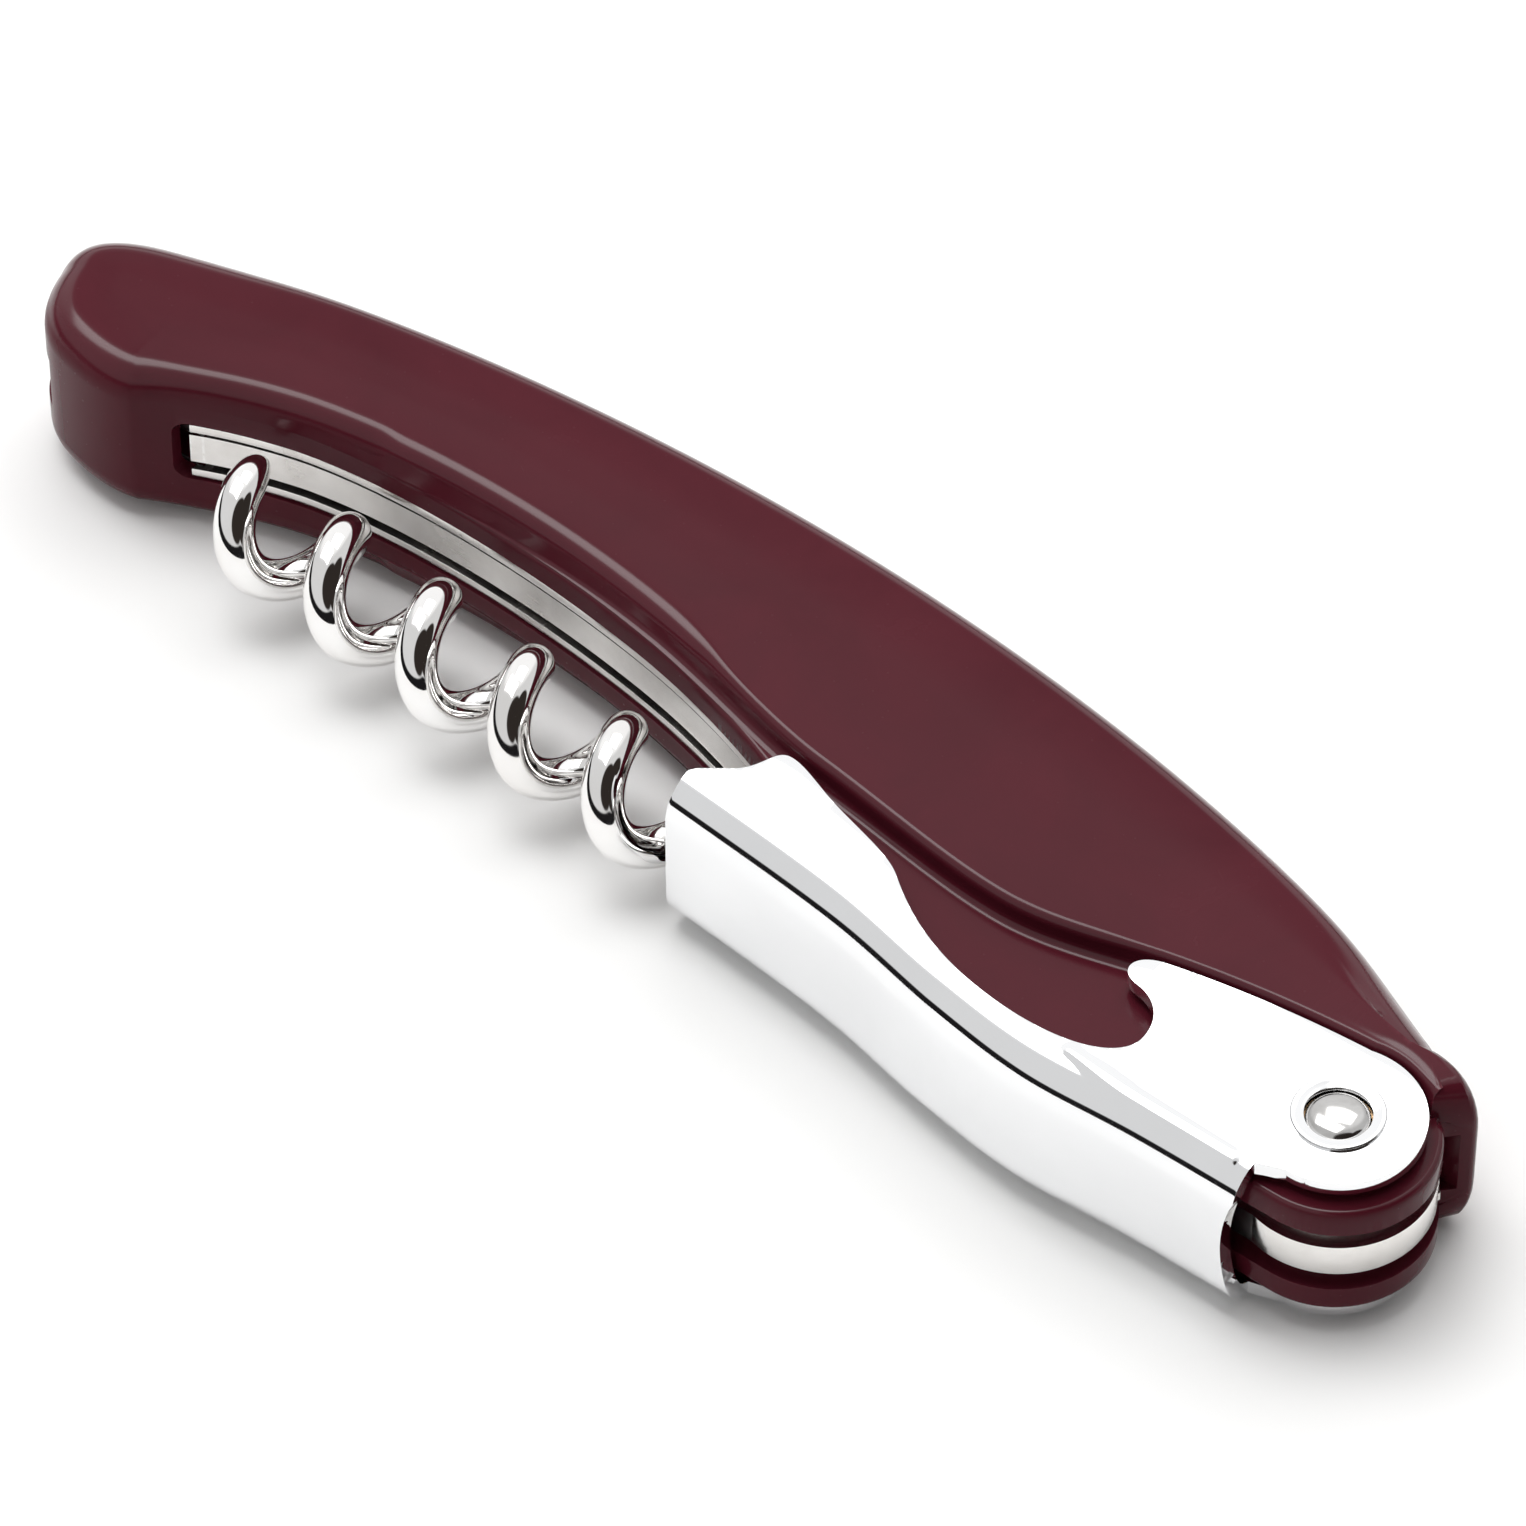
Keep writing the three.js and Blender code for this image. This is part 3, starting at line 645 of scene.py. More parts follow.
def buildHandle():
    core, face = handleOutlines()
    count = len(face)
    coreOut, faceOut = outwardNormals(core), outwardNormals(face)
    for k in range(2):
        coreOut[:, k] = smoothRow(coreOut[:, k], 2)
        faceOut[:, k] = smoothRow(faceOut[:, k], 2)
    coreOut /= np.linalg.norm(coreOut, axis=1)[:, None]
    faceOut /= np.linalg.norm(faceOut, axis=1)[:, None]
    gap = np.linalg.norm(core - face, axis=1)
    step = ease(gap, 0.25, 1.9)[:, None]
    radius, drop = (row[:, None] for row in edgeRadii(face, core))
    top = handle["halfThickness"]
    rim = top - handle["crown"]
    shelf, edge, cove = handle["shelf"], handle["ledgeRadius"], handle["coveRadius"]
    low = np.minimum(4.0, rim - drop - 0.7)
    rings = [(core, 0.0 * step), (core, low)]

    # Each ring lies on the ledge where there is one, and on the plain wall where there isn't.
    def between(flatXy, flatZ, wallZ):
        xy = core + (flatXy - core) * step
        z = wallZ + (flatZ - wallZ) * step
        rings.append((xy, z))

    wallFoot = rim - drop
    for k, a in enumerate(np.radians([0, 22, 45, 68, 90])):
        inset = edge * (1 - math.cos(a))
        between(core - coreOut * inset, shelf - edge + edge * math.sin(a), low + 0.05 * (k + 1))
    middle = (core + face) / 2
    between(middle, shelf, low + 0.3)
    room = np.clip(np.minimum(cove, gap * 0.45), 0.02, None)[:, None]
    for k, a in enumerate(np.radians([0, 22, 45, 68, 90])):
        away = room * (1 - math.sin(a))
        between(face + faceOut * away, shelf + room * (1 - math.cos(a)), low + 0.3 + 0.05 * (k + 1))
    lowest = np.where(step > 0.02, shelf + 0.75, 0.0)
    lowest[:, 0] = smoothRow(lowest[:, 0], 6)
    foot = np.maximum(wallFoot, lowest)
    rings.append((face, foot))
    cornerZ = rim - foot
    centre = np.stack([np.clip(face[:, 0], -111.5, 0.5), middleLine(np.clip(face[:, 0], -111.5, 0.5))], 1)
    inward = centre - face
    inward /= np.linalg.norm(inward, axis=1)[:, None] + 1e-9
    turnIn = ease(face[:, 0], -6.0, 1.5)[:, None] * (step < 0.02)
    turnIn[:, 0] = smoothRow(turnIn[:, 0], 4)
    inward = inward * turnIn - faceOut * (1 - turnIn)
    for a in np.radians([11, 22, 34, 45, 56, 68, 79, 90]):
        xy = face + inward * radius * (1 - math.cos(a))
        rings.append((xy, rim - cornerZ + cornerZ * math.sin(a)))
    inner = rings[-1][0]
    centre = np.stack([np.clip(inner[:, 0], -111.5, 1.5), middleLine(np.clip(inner[:, 0], -111.5, 1.5))], 1)
    for k in range(2):
        centre[:, k] = smoothRow(centre[:, k], 3)
    for t in (0.12, 0.28, 0.46, 0.64, 0.8):
        xy = inner + (centre - inner) * t
        z = rim + handle["crown"] * (1 - (1 - t / 0.8) ** 2)
        rings.append((xy, 0.0 * step + z))
    points = []
    for xy, z in rings:
        points += [(p[0], p[1], q[0]) for p, q in zip(xy, z)]
    total = len(rings)
    faces = ringFaces(total, count)
    faces.append(tuple(range((total - 1) * count, total * count)))
    offset = len(points)
    points += [(x, y, -z) for x, y, z in points]
    faces += [tuple(offset + v for v in reversed(f)) for f in faces]
    return makeMesh("handleShell", points, faces)


# Radii of the holes that the pins pass through.
holes = {
    "lever": 1.78,
    "joint": 1.28,
    "jointReach": 4.05,       # the joint pins stop inside the main faces
    "rivet": 1.13,
    "turning": 1.33,          # in the worm, the knife and their washers
    "head": 2.28,             # in the lever's ears and rings, round the rivet's head
}


def holeAt(centre, radius, low, high):
    ring = tracePath((centre[0] + radius, centre[1]), [("arc", centre, radius, 0, 360)], 0.15)[:-1]
    return prism("hole", ring, low, high)


def drill(piece, centre, radius, reach):
    return combine(piece, holeAt(centre, radius, -reach, reach), "DIFFERENCE")


def roundedBar(low, high, half, corner):
    # an outline in two axes, rounded at its low end
    steps = [
        ("line", (low + corner, -half)),
        ("arc", (low + corner, -half + corner), corner, 270, 180),
        ("line", (low, half - corner)),
        ("arc", (low + corner, half - corner), corner, 180, 90),
        ("line", (high, half)),
    ]
    return tracePath((high, -half), steps, 0.12)


def cutHandle(piece):
    half, start, corner = handle["slotHalf"], handle["slotStart"], handle["slotCorner"]
    endWall = start + handle["endWall"]
    front = roundedBar(start, 25, half, corner)
    points = [(x, y, z) for y in (-20, handle["chin"] + 0.6) for x, z in front]
    combine(piece, loft("frontSlot", points, len(front)), "DIFFERENCE")
    nose = roundedBar(handle["chin"], 40, half, handle["noseCorner"])
    points = [(x, y, z) for x in (-130, endWall) for y, z in nose]
    combine(piece, loft("noseSlot", points, len(nose)), "DIFFERENCE")
    # the slot's floor falls away towards the end of the nose
    wedge = np.array([(-108.5, handle["chin"] + 1), (-108.5, handle["chin"]), (-116.0, 1.1), (-125.0, -1.4),
                      (-125.0, handle["chin"] + 1)])
    combine(piece, prism("noseFall", wedge, -half + 0.5, half - 0.5), "DIFFERENCE")
    hollow = tracePath((endWall, -20), [
        ("line", (20, -20)), ("line", (20, 6.4)), ("line", (2.5, 6.4)),
        ("curve", (-14, 12.2), (-32, 15.4), (-50, 15.7)),
        ("line", (-50, 40)), ("line", (endWall, 40)),
    ], 0.5)
    combine(piece, prism("hollow", hollow, -half, half), "DIFFERENCE")
    drill(piece, (0, 0), holes["lever"], 9)
    drill(piece, wormPin, holes["joint"], holes["jointReach"])
    drill(piece, knifePin, holes["joint"], holes["jointReach"])
    return piece


shell = tidyMesh(cutHandle(buildHandle()))
breakEdges(shell, handle["lip"], corner=48)
finishPiece(shell, paint, "handle", ["handle_shell"])
print("handle", len(shell.data.polygons), "faces")


# The frame inside: two liners, the spring plate between them, and the pins through all three.
def coreFront(inset):
    core, _ = handleOutlines()
    return core + np.array([0, inset])


frameParts = {
    "linerInside": 1.85,
    "linerSheet": 0.70,
    "plateHalf": 1.325,
    "linerInset": 0.15,
    "plateInset": 0.40,
    "plateDisc": 6.85,
    "shankRoom": 1.85,        # cut away beside the worm's shank
    "eyeRoom": 3.05,          # and round its eye
    "edge": 0.09,
    "rivets": [(-95, 8.4), (-68, 9.4), (-19, 1.5)],
    "rivetRadius": 1.1,
    "jointPin": 1.25,
    "jointPinHalf": 4.0,
    "stopPin": (-55.5, 13.4),
}


def buildLiner(side):
    inside, sheet = frameParts["linerInside"], frameParts["linerSheet"]
    low, high = (inside, inside + sheet) if side > 0 else (-inside - sheet, -inside)
    kx, ky = knifePin
    outline = tracePath((-101.9, -20), [
        ("line", (-9, -20)), ("line", (-9, -5.2)), ("line", (0, -5.4)),
        ("arc", (0, 0), 5.4, -90, 30),
        ("line", (5.3, 5.2)), ("line", (3.6, 6.1)), ("line", (2.2, 6.1)),
        ("curve", (-14, 11.9), (-32, 15.1), (-50.3, 15.4)),
        ("curve", (-62, 19.4), (-88, 18.6), (-106, 13.2)),
        ("line", (kx, ky + 3.3)), ("arc", (kx, ky), 3.3, 90, 265),
        ("line", (-101.4, 5.5)), ("line", (-101.4, 3.5)), ("line", (-101.9, 3.5)),
    ], 0.5)
    name = "linerTop" if side > 0 else "linerBottom"
    made = prism(name, outline, low, high)
    combine(made, prism("limit", coreFront(frameParts["linerInset"]), low - 1, high + 1), "INTERSECT")
    drill(made, (0, 0), holes["lever"], 9)
    for pin in (wormPin, knifePin):
        drill(made, pin, holes["joint"], 9)
    for place in [frameParts["stopPin"]] + frameParts["rivets"]:
        drill(made, place, holes["rivet"], 9)
    tidyMesh(made)
    return breakEdges(made, frameParts["edge"], corner=50, segments=2)


for side, node in ((1, "liner_top"), (-1, "liner_bottom")):
    finishPiece(buildLiner(side), metals["frameSteel"], "handle", [node])


def wormLine(tilt=-5.0):
    a = math.radians(tilt)
    return np.array([math.cos(a), math.sin(a)]), np.array([-math.sin(a), math.cos(a)])


def buildPlate():
    half = frameParts["plateHalf"]
    outline = tracePath((-102.1, -20), [
        ("line", (-6, -20)), ("line", (0, -7)), ("line", (2.5, 5.8)),
        ("curve", (-14, 9.4), (-38, 11.2), (-54, 11.3)),
        ("curve", (-70, 11.4), (-88, 11.0), (-99.2, 8.4)),
        ("line", (-101.2, 6.4)), ("line", (-101.2, 3.5)), ("line", (-102.1, 3.5)),
    ], 0.5)
    made = prism("springPlate", outline, -half, half)
    combine(made, prism("limit", coreFront(frameParts["plateInset"]), -9, 9), "INTERSECT")
    combine(made, holeAt((0, 0), frameParts["plateDisc"], -half, half), "UNION")
    axis, aside = wormLine()
    near = np.array(wormPin) + aside * frameParts["shankRoom"]
    far = near - axis * 24
    right = wormPin[0] + frameParts["shankRoom"]
    shank = [tuple(near), tuple(far), (far[0], -20), (right, -20), (right, wormPin[1])]
    combine(made, prism("relief", shank, -9, 9), "DIFFERENCE")
    drill(made, wormPin, frameParts["eyeRoom"], 9)
    drill(made, (0, 0), holes["lever"], 9)
    for place in frameParts["rivets"]:
        drill(made, place, holes["rivet"], 9)
    tidyMesh(made)
    return breakEdges(made, frameParts["edge"], corner=50, segments=2)


finishPiece(buildPlate(), metals["frameSteel"], "handle", ["spring_plate"])


# A plain pin with broken ends.
def pinProfile(radius, half, edge=0.15):
    return [
        (0.02, -half), (radius - edge, -half), (radius - edge * 0.3, -half + edge * 0.3),
        (radius, -half + edge), (radius, 0), (radius, half - edge),
        (radius - edge * 0.3, half - edge * 0.3), (radius - edge, half), (0.02, half),
    ]


def washerProfile(inner, outer, low, high, edge=0.06):
    return [
        (inner, low + edge), (inner + edge, low), (outer - edge, low), (outer, low + edge),
        (outer, high - edge), (outer - edge, high), (inner + edge, high), (inner, high - edge),
    ]


linerOutside = frameParts["linerInside"] + frameParts["linerSheet"]
for k, place in enumerate(frameParts["rivets"]):
    pin = turned("frameRivet%d" % (k + 1), pinProfile(frameParts["rivetRadius"], linerOutside), place, 48)
    finishPiece(pin, metals["rivetSteel"], "handle", ["frame_rivet_%d" % (k + 1)])
stop = turned("knifeStop", pinProfile(frameParts["rivetRadius"], linerOutside), frameParts["stopPin"], 48)
finishPiece(stop, metals["rivetSteel"], "handle", ["knife_stop_pin"])
for name, place, node in (("wormPin", wormPin, "worm_pin"), ("knifePin", knifePin, "knife_pin")):
    pin = turned(name, pinProfile(frameParts["jointPin"], frameParts["jointPinHalf"]), place, 64)
    finishPiece(pin, metals["rivetSteel"], "handle", [node])
print("frame built")


# The lever: a channel bent from sheet, waved along its web, with an ear each side.
lever = {
    "width": 13.5,
    "sheet": 1.1,
    "corner": 3.0,
    "length": 52.0,
    "earRadius": 5.9,
    "webEnd": 1.8,
    "webNotch": 0.75,
    "edge": 0.22,
    "webLine": [(-56, -5.4), (-52, -5.7), (-37.3, -7.0), (-27.6, -8.8), (-19.5, -9.7), (-10, -9.2),
                (9, -8.9)],
    "ribFrom": -17.0,
    "ribTo": -3.4,
    "ribLine": -7.25,
    "ribHalf": 1.0,
    "ribHeight": 0.22,
}


def splineThrough(points, count):
    # centripetal spline through the web's outer line
    p = np.array(points, float)
    p = np.vstack([2 * p[0] - p[1], p, 2 * p[-1] - p[-2]])
    out = []
    for i in range(1, len(p) - 2):
        p0, p1, p2, p3 = p[i - 1:i + 3]
        t0 = 0.0
        t1 = t0 + np.linalg.norm(p1 - p0) ** 0.5
        t2 = t1 + np.linalg.norm(p2 - p1) ** 0.5
        t3 = t2 + np.linalg.norm(p3 - p2) ** 0.5
        for t in np.linspace(t1, t2, 60, endpoint=False):
            a1 = p0 * (t1 - t) / (t1 - t0) + p1 * (t - t0) / (t1 - t0)
            a2 = p1 * (t2 - t) / (t2 - t1) + p2 * (t - t1) / (t2 - t1)
            a3 = p2 * (t3 - t) / (t3 - t2) + p3 * (t - t2) / (t3 - t2)
            b1 = a1 * (t2 - t) / (t2 - t0) + a2 * (t - t0) / (t2 - t0)
            b2 = a2 * (t3 - t) / (t3 - t1) + a3 * (t - t1) / (t3 - t1)
            out.append(b1 * (t2 - t) / (t2 - t1) + b2 * (t - t1) / (t2 - t1))
    out.append(p[-2])
    return resample(np.array(out), count)


def channelSection():
    half, corner, sheet = lever["width"] / 2, lever["corner"], lever["sheet"]
    middle = half - corner
    upper = [(half, y) for y in (22, 14, 9, 7, 6, 5.2, 4.6, 4.2, 3.9, 3.6, 3.3)]
    outer = [(middle + corner * math.cos(a), corner + corner * math.sin(a))
             for a in np.radians(np.linspace(0, -90, 37))]
    web = [(x, 0) for x in np.linspace(middle, -middle, 9)[1:-1]]
    quarter = upper + outer
    outside = quarter + web + [(-x, y) for x, y in reversed(quarter)]
    innerHalf, innerCorner = half - sheet, corner - sheet
    inner = [(innerHalf, 22), (innerHalf, 6), (innerHalf, corner + 0.4)]
    inner += [(middle + innerCorner * math.cos(a), corner + innerCorner * math.sin(a))
              for a in np.radians(np.linspace(0, -90, 9))]
    inside = inner + [(-x, y) for x, y in reversed(inner)]
    return np.array(outside), np.array(inside)


def leverOutline():
    ear = lever["earRadius"]
    return tracePath((-lever["length"], -20), [
        ("line", (-lever["webEnd"], -20)),
        ("line", (-lever["webEnd"], -6.65)),
        ("line", onCircle(ear, -88)),
        ("arc", (0, 0), ear, -88, 105),
        ("curve", (-7, 5.3), (-12.5, 4.4), (-16.9, 3.2)),
        ("curve", (-18.9, 2.5), (-18.8, 0.8), (-17.0, 0.6)),
        ("curve", (-15.0, 0.4), (-13.9, -1.2), (-13.9, -2.9)),
        ("curve", (-13.9, -4.8), (-16.5, -6.4), (-21.5, -6.4)),
        ("curve", (-28, -6.3), (-32, -4.3), (-35.2, -1.9)),
        ("curve", (-36.5, -0.9), (-38.5, -0.5), (-41.1, 0.2)),
        ("curve", (-44, 0.9), (-46.0, 2.1), (-47.4, 2.0)),
        ("curve", (-48.6, 1.9), (-48.3, 0.0), (-49.6, -1.1)),
        ("line", (-lever["length"] + 0.4, -2.7)),
        ("line", (-lever["length"], -3.2)),
    ], 0.3)


# How far the pressed rib stands proud at a plan position.
def ribLift(x, y):
    along = np.clip(x, lever["ribFrom"], lever["ribTo"])
    line = lever["ribLine"] + 0.9 * ease(-x, -lever["ribFrom"] - 6.0, -lever["ribFrom"] + 1.0) * 0.6
    across = np.hypot(x - along, y - line)
    half = lever["ribHalf"] * (0.55 + 0.45 * ease(x, lever["ribFrom"] - 1, lever["ribFrom"] + 5))
    return lever["ribHeight"] * (1 - ease(across / half, 0.1, 1.0))


def buildLever():
    path = splineThrough(lever["webLine"], 300)
    ahead = np.gradient(path, axis=0)
    ahead /= np.linalg.norm(ahead, axis=1)[:, None]
    aside = np.stack([-ahead[:, 1], ahead[:, 0]], 1)
    outside, inside = channelSection()
    section = np.vstack([outside, inside[::-1]])
    outerCount = len(outside)
    loop = np.roll(section, -1, 0) - np.roll(section, 1, 0)
    loop /= np.linalg.norm(loop, axis=1)[:, None]
    normals = np.stack([-loop[:, 1], loop[:, 0]], 1)
    points = []
    for p, n in zip(path, aside):
        for k, (sx, sy) in enumerate(section):
            x, y = p + n * sy
            z = sx
            if k < outerCount and sy < 5:
                lift = float(ribLift(x, y))
                nx, ny = normals[k] if normals[k] @ np.array([sx, sy - lever["corner"]]) > 0 else -normals[k]
                x, y, z = x + n[0] * ny * lift, y + n[1] * ny * lift, z + nx * lift
            points.append((x, y, z))
    made = loft("lever", points, len(section))
    combine(made, prism("leverPlan", leverOutline(), -9, 9), "INTERSECT")
    drill(made, (0, 0), holes["head"], 9)
    # the web's end is cut back in a shallow arc between its corners
    end, half = 0.4 - lever["webEnd"], lever["width"] / 2 - 1.2
    deep = lever["webNotch"] + 0.4
    bow = [(end - deep * (1 - (z / half) ** 2), z) for z in np.linspace(-half, half, 25)]
    bow += [(4, half), (4, -half)]
    points = [(x, y, z) for y in (-14, -6.9) for x, z in bow]
    combine(made, loft("webBow", points, len(bow)), "DIFFERENCE")
    tidyMesh(made)
    return breakEdges(made, lever["edge"], corner=58, segments=3)


leverPiece = finishPiece(buildLever(), metals["brightChrome"], "lever", ["lever"])
print("lever", len(leverPiece.data.polygons), "faces")


# The rivet that the lever turns on, its rings, and the washers of all three joints.
rivet = {
    "shank": 1.75,
    "head": 2.2,
    "ring": 3.2,
    "washer": 4.2,
    "dome": 0.95,
    "collar": 0.26,
}


def buildRivet():
    top = handle["halfThickness"]
    shoulder = 5.70
    low = top - rivet["dome"]
    dome = []
    for a in np.radians(np.linspace(0, 86, 14)):
        dome.append((rivet["head"] * math.cos(a) ** 0.9, low + rivet["dome"] * math.sin(a)))
    upper = [(rivet["shank"], 0), (rivet["shank"], shoulder - 0.1), (rivet["shank"] + 0.1, shoulder),
             (rivet["head"] - 0.05, shoulder), (rivet["head"], shoulder + 0.08)] + dome + [(0.02, top)]
    profile = [(r, -z) for r, z in reversed(upper)] + upper[1:]
    return turned("leverRivet", profile, (0, 0), 96)


finishPiece(buildRivet(), metals["rivetSteel"], "handle", ["lever_rivet"])

for side, word in ((1, "top"), (-1, "bottom")):
    name = "Top" if side > 0 else "Bottom"

    def band(low, high):
        return (low, high) if side > 0 else (-high, -low)

    # a rolled ring, low inside and rounded over
    low, high = 6.75, 6.75 + rivet["collar"]
    inner, outer = holes["head"], rivet["ring"]
    ringProfile = [(inner, low), (outer, low), (outer, low + 0.06)]
    for a in np.radians(np.linspace(0, 90, 7)):
        ringProfile.append((outer - 0.18 + 0.18 * math.cos(a), high - 0.16 + 0.16 * math.sin(a)))
    ringProfile += [(outer - 0.32, high - 0.01), (outer - 0.5, high - 0.06), (outer - 0.66, low + 0.12),
                    (inner + 0.12, low + 0.09), (inner, low + 0.05)]
    if side < 0:
        ringProfile = [(r, -z) for r, z in reversed(ringProfile)]
    ring = turned("rivetRing" + name, ringProfile, (0, 0), 96, hole=True)
    finishPiece(ring, metals["brightChrome"], "lever", ["rivet_ring_" + word])
    washers = (
        ("leverWasher", (0, 0), 1.83, rivet["washer"], *band(4.95, 5.60), "lever_washer_"),
        ("wormWasher", wormPin, holes["turning"], 2.5, *band(1.55, 1.80), "worm_washer_"),
        ("knifeWasher", knifePin, holes["turning"], 2.9, *band(0.95, 1.80), "knife_washer_"),
    )
    for label, centre, hole, rim, low, high, node in washers:
        made = turned(label + name, washerProfile(hole, rim, low, high), centre, 72, hole=True)
        finishPiece(made, metals["washerBronze"], "handle", [node + word])
print("rivet and washers built")


# The worm: a coil of round wire, led into an eye on its pin.
worm = {
    "wire": 3.0,
    "outer": 9.2,
    "pitch": 8.94,
    "turns": 4.7,
    "tilt": -5.0,
    "front": (-92.9, 0.56),
    "frontPhase": 165.0,
    "tipTurn": -0.18,
    "tipReach": 0.17,         # turns in which the point is drawn down
    "lead": 5.5,
    "eye": 2.7,
}


def wormCentre(q):
    axis, aside = wormLine(worm["tilt"])
    start = worm["tipTurn"] * worm["pitch"]
    coilEnd = start + worm["turns"] * worm["pitch"]
    reach = np.array(wormPin) - np.array(worm["front"])
    closing = ease(q, coilEnd, coilEnd + worm["lead"])
    phase = math.radians(worm["frontPhase"]) + 2 * math.pi * min(q, coilEnd + worm["lead"]) / worm["pitch"]
    radius = (worm["outer"] - worm["wire"]) / 2 * (1 - closing)
    shift = reach @ aside * closing
    plan = np.array(worm["front"]) + axis * q + aside * (radius * math.cos(phase) + shift)
    return np.array([plan[0], plan[1], radius * math.sin(phase)]), phase


# Centres, directions of travel and directions away from the axis, along the wire.
def wirePath(stations, beyond=None):
    aside = wormLine(worm["tilt"])[1]
    centres = np.array([wormCentre(q)[0] for q in stations])
    phases = [wormCentre(q)[1] for q in stations]
    ahead = np.gradient(centres if beyond is None else np.vstack([centres, beyond]), axis=0)[:len(centres)]
    ahead /= np.linalg.norm(ahead, axis=1)[:, None]
    out = [np.array([aside[0] * math.cos(p), aside[1] * math.cos(p), math.sin(p)]) for p in phases]
    return centres, ahead, out


def buildWorm():
    axis = wormLine(worm["tilt"])[0]
    start = worm["tipTurn"] * worm["pitch"]
    reach = np.array(wormPin) - np.array(worm["front"])
    end = reach @ axis - worm["eye"] + 0.6
    stations = np.linspace(start, end, 620)
    centres, tangents, up = wirePath(stations)
    wire = worm["wire"] / 2
    # the point follows the turn on over the top, drawn down and blunted
    tipSpan = worm["tipReach"] * worm["pitch"]
    beyond = start - tipSpan * np.linspace(1, 0, 40, endpoint=False)
    tipCentres, tipAhead, tipUp = wirePath(beyond, centres[:1])
    share = (start - beyond) / tipSpan
    sizes = wire * (0.10 + 0.90 * np.sqrt(np.clip(1 - share ** 1.6, 0, 1)))
    # the drawn point lies on the coil's outer side, as when it is ground
    tip = []
    for c, t, u, size in zip(tipCentres, tipAhead, tipUp, sizes):
        tip.append((c + u * (wire - size) * 0.35, t, u, size))
    first = tip[0]
    tip.insert(0, (first[0] - first[1] * 0.05, first[1], first[2], first[3] * 0.7))
    tip.insert(0, (first[0] - first[1] * 0.08, first[1], first[2], first[3] * 0.3))
    rows = tip + [(c, t, u, wire) for c, t, u in zip(centres, tangents, up)]
    sides = 40
    points = []
    for centre, ahead, out, size in rows:
        u = out - ahead * (out @ ahead)
        u /= np.linalg.norm(u)
        v = np.cross(ahead, u)
        for a in np.linspace(0, 2 * math.pi, sides, endpoint=False):
            points.append(centre + (u * math.cos(a) + v * math.sin(a)) * size)
    made = loft("worm", points, sides)
    eye, hole, half = worm["eye"], holes["turning"], wire - 0.02
    profile = [(hole, -half + 0.2), (hole + 0.2, -half), (eye - 0.5, -half), (eye - 0.15, -half + 0.15),
               (eye, -half + 0.5), (eye, half - 0.5), (eye - 0.15, half - 0.15), (eye - 0.5, half),
               (hole + 0.2, half), (hole, half - 0.2)]
    drill(made, wormPin, hole + 0.05, 4)
    combine(made, turned("eye", profile, wormPin, 96, hole=True), "UNION")
    return tidyMesh(made)


wormPiece = finishPiece(buildWorm(), metals["wormChrome"], "worm", ["worm"], corner=40)
print("worm", len(wormPiece.data.polygons), "faces")


# The foil knife, folded into the slot along the back.
knife = {
    "half": 0.9,
    "tang": 2.9,
    "tip": (-60, 18.4),
    "heel": (-99, 10.6),
    "edge": 0.07,
    "grind": 2.2,
    "teeth": 0.16,
}


def knifeOutline():
    x, y = knifePin
    cutting = tracePath(knife["tip"], [
        ("curve", (-64, 15.2), (-70, 12.6), (-78, 12.2)),
        ("curve", (-86, 11.8), (-94, 11.6), knife["heel"]),
    ], 0.22)
    spine = tracePath((x, y - knife["tang"]), [
        ("arc", (x, y), knife["tang"], 270, 100),
        ("curve", (x + 3, y + 4.4), (x + 6, y + 5.4), (x + 9, y + 6.4)),
        ("curve", (-88, 17.9), (-74, 18.9), knife["tip"]),
    ], 0.4)
    ricasso = tracePath(knife["heel"], [
        ("curve", (x + 7.4, y + 1.2), (x + 6, y - 0.6), (x + 4, y - 1.6)),
        ("curve", (x + 3, y - 2.4), (x + 1.5, y - knife["tang"]), (x, y - knife["tang"])),
    ], 0.4)
    return spine, cutting, ricasso


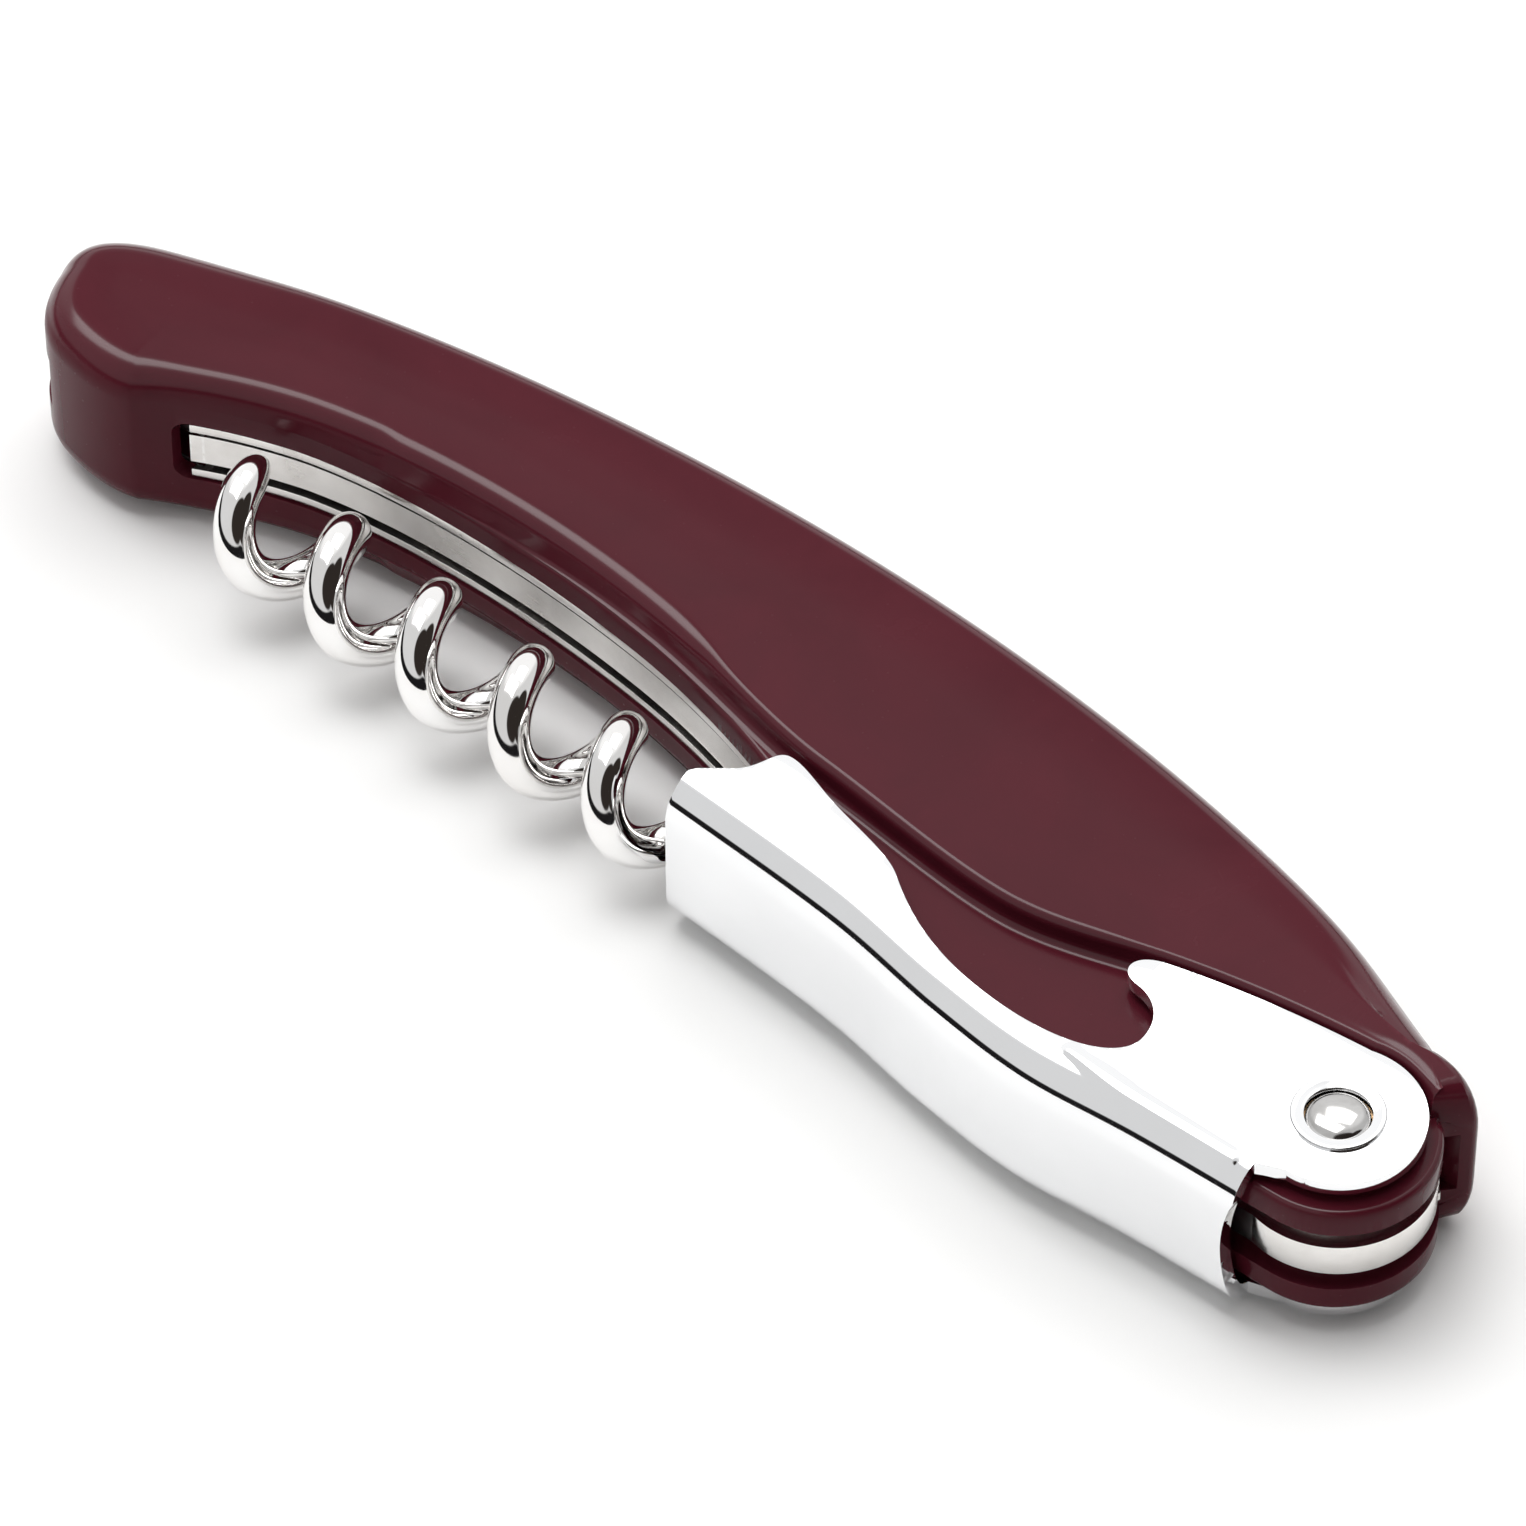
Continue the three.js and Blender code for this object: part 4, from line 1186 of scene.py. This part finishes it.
def buildKnife():
    spine, cutting, ricasso = knifeOutline()
    normals = np.zeros_like(cutting)
    normals[:, 0], normals[:, 1] = np.gradient(cutting[:, 1]), -np.gradient(cutting[:, 0])
    normals /= np.linalg.norm(normals, axis=1)[:, None]
    inward = np.where(normals[:, 1:] > 0, normals, -normals)
    # fine saw teeth along the cutting edge
    steps = np.concatenate([[0], np.cumsum(np.linalg.norm(np.diff(cutting, axis=0), axis=1))])
    notch = knife["teeth"] * np.abs(np.sin(steps * math.pi / 0.9))
    notch *= ease(steps, 1.0, 3.0) * ease(steps[-1] - steps, 1.5, 4.0)
    edge = cutting + inward * notch[:, None]
    ends = ease(steps, 0.0, 6.0) * ease(steps[-1] - steps, 0.0, 3.0)
    shoulder = cutting + inward * (0.15 + knife["grind"] * ends[:, None])
    upper = np.vstack([spine[:-1], [cutting[0] + inward[0] * 0.15], shoulder[1:-1], ricasso])
    half = knife["half"]
    count = len(upper)
    points = [(x, y, half) for x, y in upper] + [(x, y, -half) for x, y in upper]
    lowEdge = len(points)
    points += [(x, y, 0.05) for x, y in edge] + [(x, y, -0.05) for x, y in edge]
    faces = [tuple(range(count)), tuple(range(2 * count - 1, count - 1, -1))]
    first = len(spine) - 1
    rows = len(edge)
    # the ground faces run down to the edge; elsewhere a plain wall joins the two sides
    for i in range(count):
        j = (i + 1) % count
        if first <= i <= first + rows - 2:
            k = i - first
            faces.append((i, j, lowEdge + k + 1, lowEdge + k))
            faces.append((count + i, lowEdge + rows + k, lowEdge + rows + k + 1, count + j))
            faces.append((lowEdge + k, lowEdge + k + 1, lowEdge + rows + k + 1, lowEdge + rows + k))
        else:
            faces.append((i, j, count + j, count + i))
    faces.append((first, lowEdge, lowEdge + rows, count + first))
    last = first + rows - 1
    faces.append((last % count, count + last % count, lowEdge + 2 * rows - 1, lowEdge + rows - 1))
    return makeMesh("knifeBlade", points, faces)


def nailNick(piece):
    # a lens-shaped thumb nick near the spine
    nick = tracePath((-84.5, 16.6), [
        ("curve", (-82, 17.15), (-78, 17.15), (-75.5, 16.6)),
        ("curve", (-78, 15.9), (-82, 15.9), (-84.5, 16.6)),
    ], 0.2)[:-1]
    combine(piece, prism("nick", nick, knife["half"] - 0.35, knife["half"] + 1), "DIFFERENCE")
    drill(piece, knifePin, holes["turning"], 3)
    tidyMesh(piece, 0.002)
    return breakEdges(piece, knife["edge"], corner=55, segments=2)


finishPiece(nailNick(buildKnife()), metals["bladeSteel"], "knife", ["knife_blade"])
print("knife built")


studio = {
    "floor": (0.90, 0.90, 0.895),
    "back": 1.04,             # behind the object, which the flat tops mirror
    "side": 0.72,
    "lamp": 5.0,              # the strip lamp overhead
    "strip": (0.02, -0.62),   # the strip lamp's two ends
    "stripHalf": 0.15,
    "horizon": (0.012, 0.011, 0.012),       # the dark room low down
    "cameraPatch": (0.030, 0.024, 0.021),   # and behind the camera
}


def makeFloor():
    size, steps = 3.0, 12
    spread = np.linspace(-size, size, steps + 1)
    points = [(x, y, -0.0002) for y in spread for x in spread]
    faces = []
    for r in range(steps):
        for c in range(steps):
            a = r * (steps + 1) + c
            faces.append((a, a + 1, a + steps + 2, a + steps + 1))
    floor = makeMesh("floor", points, faces)
    material, tree, shader = newMaterial("paleFloor")
    place = addNode(tree, "ShaderNodeTexCoord")
    noise = addNode(tree, "ShaderNodeTexNoise", Vector=place.outputs["Object"], Scale=30.0, Detail=3.0)
    duller = tuple(c * 0.992 for c in studio["floor"])
    colour = mixColours(tree, noise.outputs["Fac"], studio["floor"], duller)
    tree.links.new(colour, shader.inputs["Base Color"])
    shader.inputs["Roughness"].default_value = 0.8
    shader.inputs["Specular IOR Level"].default_value = 0.1
    floor.data.materials.append(material)
    return floor


def makeSky():
    world = bpy.data.worlds.new("studio")
    scene.world = world
    world.use_nodes = True
    tree = world.node_tree
    back = tree.nodes["Background"]
    place = addNode(tree, "ShaderNodeTexCoord")
    direction = place.outputs["Generated"]
    apart = addNode(tree, "ShaderNodeSeparateXYZ", Vector=direction)

    def towards(aim, inner, outer):
        dot = addNode(tree, "ShaderNodeVectorMath", {"operation": "DOT_PRODUCT"})
        tree.links.new(direction, dot.inputs[0])
        dot.inputs[1].default_value = Vector(aim).normalized()
        return remap(tree, dot.outputs["Value"], math.cos(math.radians(outer)), math.cos(math.radians(inner)))

    # a strip lamp overhead, running towards the left end
    x, y, z = (apart.outputs[axis] for axis in "XYZ")
    near, far = studio["strip"]
    along = maths(tree, "MULTIPLY", remap(tree, x, near + 0.12, near), remap(tree, x, far - 0.12, far))
    across = remap(tree, maths(tree, "ABSOLUTE", y), studio["stripHalf"] + 0.09, studio["stripHalf"])
    lamp = maths(tree, "MULTIPLY", maths(tree, "MULTIPLY", along, across), remap(tree, z, 0.3, 0.5))
    behind = towards((-0.42, 0.52, 0.75), 34, 52)
    level = maths(tree, "ADD", remap(tree, behind, 0.0, 1.0, studio["side"], studio["back"]),
                  maths(tree, "MULTIPLY", lamp, studio["lamp"]))
    grey = addNode(tree, "ShaderNodeCombineColor", Red=level, Green=level, Blue=level)
    # the dark room shows low down, higher on the side in front of the object
    front = remap(tree, y, 0.1, -0.5)
    top = remap(tree, front, 0.0, 1.0, 0.10, 0.22)
    above = maths(tree, "SUBTRACT", z, top)
    dark = mixColours(tree, remap(tree, above, -0.02, 0.03), studio["horizon"], grey.outputs["Color"])
    patch = maths(tree, "MAXIMUM", towards((0.63, -0.33, 0.68), 27, 31), towards((0.84, 0.12, 0.46), 24, 27))
    full = mixColours(tree, patch, dark, studio["cameraPatch"])
    tree.links.new(full, back.inputs["Color"])
    back.inputs["Strength"].default_value = 1.0


def areaLight(name, place, size, energy, colour=(1, 1, 1)):
    data = bpy.data.lights.new(name, "AREA")
    data.shape = "RECTANGLE"
    data.size, data.size_y = size
    data.energy = energy
    data.color = colour
    lamp = bpy.data.objects.new(name, data)
    scene.collection.objects.link(lamp)
    lamp.location = place
    lamp.rotation_euler = (-Vector(place)).to_track_quat("-Z", "Y").to_euler()
    return lamp


makeFloor()
makeSky()
areaLight("overheadBox", (-0.15, 0.40, 0.75), (0.60, 0.40), 1.2, (1.0, 0.985, 0.97))
scene.view_settings.view_transform = "Standard"
scene.view_settings.look = "None"
print("studio lit")
